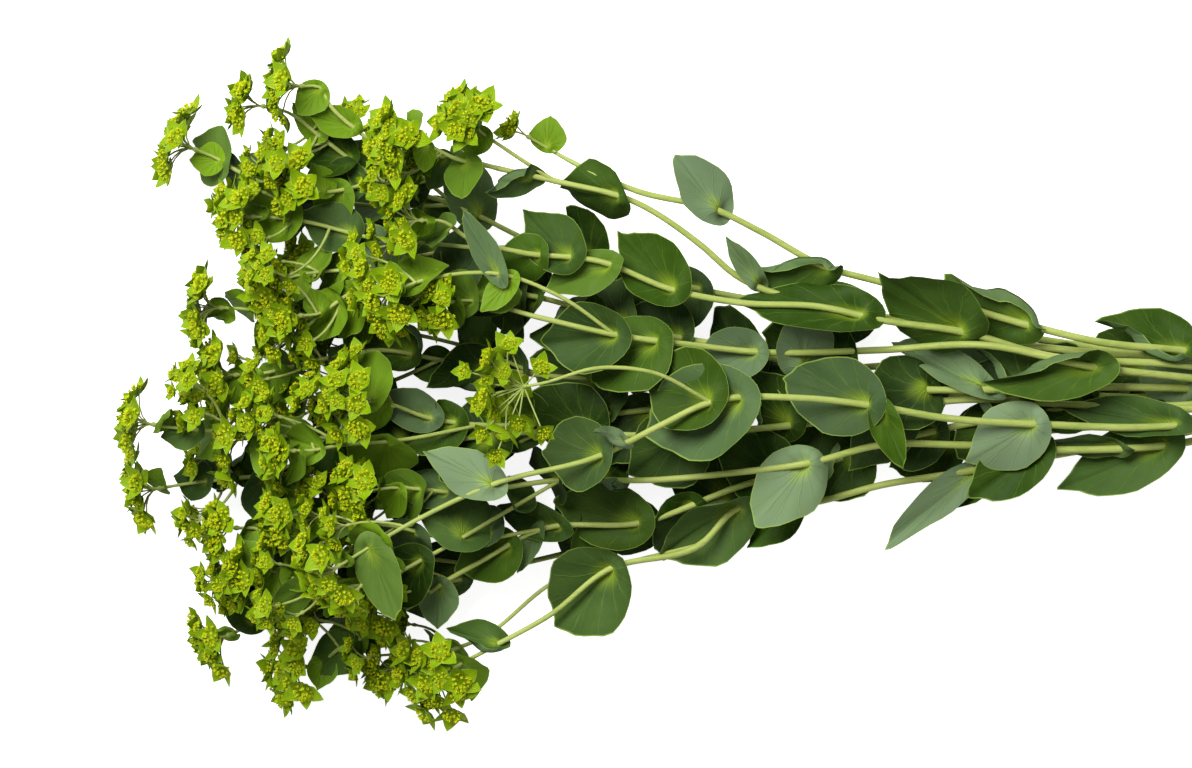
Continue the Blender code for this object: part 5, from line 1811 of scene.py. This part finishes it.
def florets_on(tree, grown):
    """Florets spiralled over a dome, the way that seeds lie in a sunflower, each facing outwards."""
    index = put(tree, "GeometryNodeInputIndex", give="Index") * 1.0
    steep = ((index + 0.5) / entry(tree, "Florets")).sum("SQRT") * entry(tree, "Spread")
    angle = index * GOLDEN_TURN
    ring = steep.sum("SINE")
    dome = vector_of(tree, ring * angle.sum("COSINE"), ring * angle.sum("SINE"), steep.sum("COSINE"))
    spots = spots_on(tree, grown, entry(tree, "Florets"), scaled(dome, entry(tree, "Dome")))
    place = put(tree, "GeometryNodeInputPosition", give="Position")
    feeds = {0: place, 1: named(tree, "middle", "FLOAT_VECTOR")}
    away = put(tree, "ShaderNodeVectorMath", feeds, give="Vector", operation="SUBTRACT")
    aim = put(tree, "FunctionNodeAlignRotationToVector", {"Vector": away}, give="Rotation", axis="Z")
    tilt_x, tilt_y = drawn(tree, -0.3, 0.3, 1), drawn(tree, -0.3, 0.3, 2)
    aim = turned_by(tree, aim, tilt_x, tilt_y, drawn(tree, 0.0, FULL_TURN, 3))
    size = named(tree, "size") * drawn(tree, 0.8, 1.15, 4)
    return copies_on(tree, spots, "Floret", aim, size, floret_yellow)


def bracts_on(tree, grown):
    """Bracts in a ring below the dome, tipped up and a little uneven."""
    spots = spots_on(tree, grown, entry(tree, "Bracts"), vector_of(tree, 0.0, 0.0, 0.0))
    slot = named(tree, "number") / entry(tree, "Bracts") * FULL_TURN
    aim = rotation_of(tree, named(tree, "turned", "FLOAT_VECTOR"))
    aim = turned_by(tree, aim, z=slot + drawn(tree, -0.15, 0.15, 5))
    aim = turned_by(tree, aim, x=drawn(tree, -0.25, 0.25, 6), y=drawn(tree, -0.55, -0.05, 7))
    size = named(tree, "size") * drawn(tree, 0.85, 1.12, 8)
    return copies_on(tree, spots, "Bract", aim, size, bract_lime)


# %% Umbellules on their rays
UMBEL_INPUTS = [
    ("Sides", "NodeSocketInt", 5), ("Florets", "NodeSocketInt", 21), ("Bracts", "NodeSocketInt", 5),
    ("Dome", "NodeSocketFloat", 0.0032), ("Spread", "NodeSocketFloat", 1.25),
    ("Floret", "NodeSocketObject"), ("Bract", "NodeSocketObject"), ("Seed", "NodeSocketInt", 1),
]


def umbel_tree():
    tree = geometry_tree("umbel", UMBEL_INPUTS)
    grown = entry(tree, "Geometry")
    rays = with_group(tree, stalks_tree, {"Geometry": grown, "Sides": entry(tree, "Sides")}, "Geometry")
    whole = joined(tree, (rays, florets_on(tree, grown), bracts_on(tree, grown)))
    place = put(tree, "GeometryNodeInputPosition", give="Position")
    leave(tree, Geometry=moved_to(tree, whole, above_floor(place)))
    return tree


head_tree = umbel_tree()
print("nodes for an umbel:", len(head_tree.nodes))

# %% [markdown]
# The solids hold each umbellule as a five-pointed star on a ray. As with the leaves, the rule that
# set the rays is tried again, and each ray is kept at the turn and length that the solid shows.

# %% Rays of each umbel
RIM_INSET = 5


def basis(direction):
    """The axes whose Z runs along the direction."""
    return direction.to_track_quat("Z", "Y").to_matrix()


def leaning(reach, face):
    """The way that an umbellule faces: between its ray and the umbel's face."""
    return (reach.normalized() + 0.5 * face).normalized()


def ray_ends(face, radius, count, spin, rng):
    """Where the rays of an umbel end, from its hub: up to three inside, the rest round the edge."""
    if count < 5:
        inner = 0
    elif count < 9:
        inner = 1
    else:
        inner = 3
    outer = count - inner
    ends = []
    for number in range(inner):
        turn = spin + 2 * math.pi * number / inner
        out = 0.0 if inner == 1 else 0.42 * (radius - RIM_INSET)
        ends.append(Vector((out * math.cos(turn), out * math.sin(turn), UMBEL_REACH + 2)))
    for number in range(outer):
        turn = spin + 2 * math.pi * (number + rng.uniform(-0.12, 0.12)) / outer
        out = (radius - RIM_INSET) * rng.uniform(0.92, 1.05)
        rise = UMBEL_REACH * rng.uniform(0.85, 1.0)
        ends.append(Vector((out * math.cos(turn), out * math.sin(turn), rise)))
    return [basis(face) @ end for end in ends]


# %% Finding the rays in the solids
RAY_SIZES = (1.0, 0.92, 0.84, 1.1, 0.72, 1.22)
RAY_TURNS = (0, 14, -14, 26)
STAR_RADIUS = 8.0
STAR_DOME = 3.8
STAR_TIP_TURN = math.radians(-162)


def star_tips(place, direction, spin, swell):
    """The five bract tips of an umbellule's solid."""
    axes = basis(direction) @ Matrix.Rotation(spin, 3, "Z")
    tips = []
    for number in range(5):
        turn = STAR_TIP_TURN + FULL_TURN * number / 5
        tip = Vector((STAR_RADIUS * math.cos(turn), STAR_RADIUS * math.sin(turn), -STAR_DOME / 2))
        tips.append(place + axes @ tip * swell)
    return tips


def fitted_ray(tree, spring, end, face, number, swell):
    """The place and direction of the umbellule that the solid holds for this ray."""
    found, least = None, BLADE_FITS
    for turn in RAY_TURNS:
        for size in RAY_SIZES:
            reach = Matrix.Rotation(math.radians(turn), 3, face) @ end * size
            place = spring + reach
            direction = leaning(reach, face)
            gaps = [tree.find(tip)[2] for tip in star_tips(place, direction, number, swell)]
            middling = sorted(gaps)[2]
            if middling < least:
                found, least = (place, direction), middling
    return found


# %% Chains for one umbel
SEAT_GAP = 0.3
HUB_WIDTH = 3.4
HUB_LENGTH = 3.0
RAY_POINTS = 5
RAY_THICK = 0.85
SIDE_UMBELLULES = 5


class Bouquet:
    """Chains of points for one umbel piece, with a head's size and turn on the last of each ray."""

    def __init__(self):
        self.points = []
        self.edges = []
        self.values = {"thick": [], "head": [], "size": [], "turned": [], "middle": []}
        self.heads = 0

    def add_chain(self, line, thick, head=0.0, size=0.0, turned=Vector(), middle=Vector()):
        count = len(line)
        self.edges += chain_edges(len(self.points), count)
        self.points += line
        self.values["thick"] += [METRES * value for value in thick]
        for key, value in (("head", head), ("size", size), ("turned", turned), ("middle", middle)):
            nothing = Vector() if isinstance(value, Vector) else 0.0
            self.values[key] += [nothing] * (count - 1) + [value]

    def add_ray(self, spring, face, place, direction, turn, size):
        """A bowed ray from the hub, with an umbellule on its end."""
        base = place - direction * STAR_DOME / 2 * size
        bow = spring + face * (base - spring).length * 0.45
        shares = [k / (RAY_POINTS - 1) for k in range(RAY_POINTS)]
        line = [spring * (1 - f) ** 2 + bow * 2 * f * (1 - f) + base * f * f for f in shares]
        turned = (basis(direction) @ Matrix.Rotation(turn, 3, "Z")).to_euler()
        self.add_chain(line, [RAY_THICK / 2] * RAY_POINTS, 1.0, size, Vector(turned), base * METRES)
        self.heads += 1

    def add_hub(self, start, face, width=HUB_WIDTH):
        seat = start + SEAT_GAP * face
        spring = seat + face * HUB_LENGTH * 0.5
        line = [start, spring, seat + face * HUB_LENGTH]
        self.add_chain(line, [width * 0.24, width * 0.44, width * 0.26])
        return spring

    def add_side_head(self, root, hub, face, rng):
        """A short branch with a smaller head of a few umbellules."""
        reach = (hub - root).length
        shares = [k / 6 for k in range(7)]
        bend = hub - face * reach * 0.5
        line = [root * (1 - f) ** 2 + bend * 2 * f * (1 - f) + hub * f * f for f in shares]
        self.add_chain(line, [0.85 - 0.2 * f for f in shares])
        spring = self.add_hub(hub, face, HUB_WIDTH * 0.75)
        spin = rng.uniform(0, FULL_TURN)
        for order in range(SIDE_UMBELLULES):
            turn = spin + FULL_TURN * order / (SIDE_UMBELLULES - 1)
            out = 0.0 if order == SIDE_UMBELLULES - 1 else SIDE_RADIUS * rng.uniform(0.6, 0.8)
            rise = SIDE_RISE * rng.uniform(0.75, 1.0)
            end = basis(face) @ Vector((out * math.cos(turn), out * math.sin(turn), rise))
            direction = leaning(end, face)
            self.add_ray(spring, face, spring + end, direction, rng.uniform(0, FULL_TURN),
                         rng.uniform(0.6, 0.8))


# %% Umbellules that only the picture shows
# The umbel that lies apart from the rest is open, and these are the layout places of the
# umbellules that show round its hub from above.
LONE_STARS = ((466, 371), (486, 384), (510, 344), (505, 372), (542, 367), (479, 404), (494, 412),
              (519, 424), (544, 433), (483, 434), (497, 455))
LONE_RISE = 3.0
EXTRA_SEED = 77


def extra_ends(face, radius, count, spin, rng):
    """Where smaller umbellules go, between those of the solids and nearer the umbel's middle."""
    ends = []
    for number in range(count):
        turn = spin + FULL_TURN * (number + 0.5 + rng.uniform(-0.2, 0.2)) / count
        out = (radius - RIM_INSET) * rng.uniform(0.45, 0.95)
        rise = UMBEL_REACH * rng.uniform(0.95, 1.2)
        ends.append(basis(face) @ Vector((out * math.cos(turn), out * math.sin(turn), rise)))
    return ends


def add_extra_rays(umbel, spring, face, radius, count, spin, rng):
    for end in extra_ends(face, radius, count, spin, rng):
        turn, size = rng.uniform(0, FULL_TURN), rng.uniform(0.7, 0.9)
        umbel.add_ray(spring, face, spring + end, leaning(end, face), turn, size)


def add_lone_rays(umbel, spring, rng):
    for place in LONE_STARS:
        end = Vector((*layout(*place), spring.z + LONE_RISE + rng.uniform(-2, 2)))
        aim = (end - spring).normalized()
        direction = (aim + Vector((0, 0, 1.2))).normalized()
        umbel.add_ray(spring, aim, end, direction, rng.uniform(0, FULL_TURN), rng.uniform(0.6, 0.75))


# %% Growing the umbels
SMALL_STAR_SIZE = 0.8
STAR_TURN = math.radians(18)


def grow_umbel(name, row):
    """One umbel: its hub, rays, bracts and florets, and the side heads below it."""
    carrier, _, azimuth, lift, radius, count = row
    number = int(name[-2:])
    face = facing(azimuth, lift)
    start = routes[carrier].points(heights)[-1]
    rng = random.Random(SPREAD_SEED + number)
    more = random.Random(EXTRA_SEED + number)
    spin = rng.uniform(0, 2 * math.pi)
    swell = 1.0 if radius > SMALL_UMBEL else SMALL_STAR_SIZE
    umbel = Bouquet()
    spring = umbel.add_hub(start, face)
    for order, end in enumerate(ray_ends(face, radius, count, spin, rng)):
        found = fitted_ray(solid_corners[name], spring, end, face, order, swell)
        if found:
            umbel.add_ray(spring, face, *found, order + STAR_TURN, swell)
    if SMALL_UMBEL < radius < LONE_UMBEL:
        add_extra_rays(umbel, spring, face, radius, count + 1, spin, more)
    elif radius > LONE_UMBEL:
        add_lone_rays(umbel, spring, more)
    for side_head in side_heads[name]:
        umbel.add_side_head(*side_head, more)
    source = grown_from(name + "_source", umbel.points, umbel.edges, umbel.values)
    piece = made_by(head_tree, source, "head_of_" + name, Floret=floret, Bract=bract, Seed=number)
    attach(piece, "root")
    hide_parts(name)
    return piece, umbel.heads


grown_umbels = [grow_umbel(name, row) for name, row in UMBELS.items()]
for pattern in (floret, bract):
    bpy.data.objects.remove(pattern)
print("umbels:", len(grown_umbels), "umbellules:", sum(count for _, count in grown_umbels))
print("triangles in the umbels:", sum(triangles_of(piece) for piece, _ in grown_umbels))

# %% [markdown]
# ## The band
#
# Past the picture's edge a rubber band holds the stems. It is wound four times, so it shows as
# four strands side by side, inside the space that the solid band takes. Four flattened circles
# spun once about the band's axis make it. Four torus primitives would do too, but their section
# would have to be squeezed afterwards.

# %% A wound rubber band
BAND_WIDTH = 11.0
STRANDS = 4
STRAND_SIDES = 48
SECTION_SIDES = 12
STRAND_DEPTH = 0.46
STRAND_WIDTH = 0.48
STRAND_INSET = 0.05


def wound_band():
    """Flattened circles side by side, spun once about the band's axis."""
    pitch = BAND_WIDTH / STRANDS
    middle = (BAND_INNER + BAND_OUTER) / 2 - STRAND_INSET
    wound = bmesh.new()
    for strand in range(STRANDS):
        shift = (strand - (STRANDS - 1) / 2) * pitch
        circle = bmesh.ops.create_circle(wound, segments=SECTION_SIDES, radius=1)
        for corner in circle["verts"]:
            x, y, _ = corner.co
            corner.co = (middle + y * BAND_WALL * STRAND_DEPTH, 0, x * pitch * STRAND_WIDTH + shift)
    bmesh.ops.spin(wound, geom=wound.edges[:] + wound.verts[:], cent=(0, 0, 0), axis=(0, 0, 1),
                   angle=FULL_TURN, steps=STRAND_SIDES, use_duplicate=False)
    bmesh.ops.remove_doubles(wound, verts=wound.verts, dist=1e-3)
    bmesh.ops.recalc_face_normals(wound, faces=wound.faces)
    return wound


def build_band():
    whole = wound_band()
    turn = Matrix.Rotation(math.pi / 2, 4, "Y")
    place = Matrix.Translation((*layout(TIE_X, TIE_Y), TIE_HEIGHT))
    bmesh.ops.transform(whole, matrix=Matrix.Scale(METRES, 4) @ place @ turn, verts=whole.verts)
    mesh = bpy.data.meshes.new("rubber_band")
    whole.to_mesh(mesh)
    whole.free()
    mesh.shade_smooth()
    mesh.materials.append(band_tan)
    band = bpy.data.objects.new("rubber_band", mesh)
    bpy.context.scene.collection.objects.link(band)
    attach(band, "root")
    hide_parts("tie_band")
    return band


band = build_band()
print("triangles in the band:", triangles_of(band))

# %% [markdown]
# ## Floor, light and camera
#
# The bunch lies on a plain white floor under one large soft light and an even sky, and a long lens
# looks straight down on it, so that near and far stems keep their sizes. In the photograph the
# ground is pure white. A floor bright enough for that would light the leaves from below, so the
# floor's own glow and the sky's full brightness are seen by the camera only.

# %% Floor
FLOOR_SIDE = 60.0
FLOOR_GLOW = 0.85


BLACK = (0.0, 0.0, 0.0, 1)
WHITE = (1.0, 1.0, 1.0, 1)


def lay_floor():
    shape = bmesh.new()
    bmesh.ops.create_grid(shape, x_segments=1, y_segments=1, size=FLOOR_SIDE / 2)
    mesh = bpy.data.meshes.new("floor")
    shape.to_mesh(mesh)
    shape.free()
    material, tree, shader = new_material("floor_white")
    shader.inputs["Base Color"].default_value = (0.80, 0.80, 0.80, 1)
    shader.inputs["Roughness"].default_value = 0.9
    seen = put(tree, "ShaderNodeLightPath", give="Is Camera Ray")
    into(tree, shader, "Emission Color", mixed(tree, seen, BLACK, WHITE))
    shader.inputs["Emission Strength"].default_value = FLOOR_GLOW
    mesh.materials.append(material)
    floor = bpy.data.objects.new("floor", mesh)
    bpy.context.scene.collection.objects.link(floor)
    return floor


print("floor:", [round(side) for side in lay_floor().dimensions.xy], "m")

# %% Light
SKY_STRENGTH = 0.40
KEY_POWER = 90.0
KEY_SIZE = 1.5
KEY_PLACE = Vector((-0.9, 1.1, 2.0))


def light_scene():
    world = bpy.data.worlds.new("studio")
    bpy.context.scene.world = world
    world.use_nodes = True
    sky = world.node_tree.nodes["Background"]
    seen = put(world.node_tree, "ShaderNodeLightPath", give="Is Camera Ray")
    dim = (SKY_STRENGTH, SKY_STRENGTH, SKY_STRENGTH, 1)
    into(world.node_tree, sky, "Color", mixed(world.node_tree, seen, dim, WHITE))
    key = bpy.data.lights.new("key", "AREA")
    key.energy = KEY_POWER
    key.shape = "DISK"
    key.size = KEY_SIZE
    lamp = bpy.data.objects.new("key", key)
    lamp.location = KEY_PLACE
    lamp.rotation_euler = (-KEY_PLACE).to_track_quat("-Z", "Y").to_euler()
    lamp.visible_camera = False
    bpy.context.scene.collection.objects.link(lamp)
    bpy.context.scene.view_settings.view_transform = "Standard"
    bpy.context.scene.view_settings.exposure = 0.0


light_scene()
print("lights:", len(bpy.data.lights), "and the sky at", SKY_STRENGTH)

# %% Camera
PHOTO_SIZE = (1192, 768)
CAMERA_HEIGHT = 4.0
SENSOR = 36.0

# The height at which one step of the layout is one pixel of the picture.
TRUE_HEIGHT = 0.045


def set_camera():
    centre = layout(PHOTO_SIZE[0] / 2, PHOTO_SIZE[1] / 2)
    across = PHOTO_SIZE[0] * STEP * METRES
    lens = bpy.data.cameras.new("camera")
    lens.sensor_width = SENSOR
    lens.lens = SENSOR * (CAMERA_HEIGHT - TRUE_HEIGHT) / across
    lens.clip_end = 50.0
    camera = bpy.data.objects.new("camera", lens)
    camera.location = (centre[0] * METRES, centre[1] * METRES, CAMERA_HEIGHT)
    bpy.context.scene.collection.objects.link(camera)
    bpy.context.scene.camera = camera
    return lens


print("lens:", round(set_camera().lens, 1), "mm")
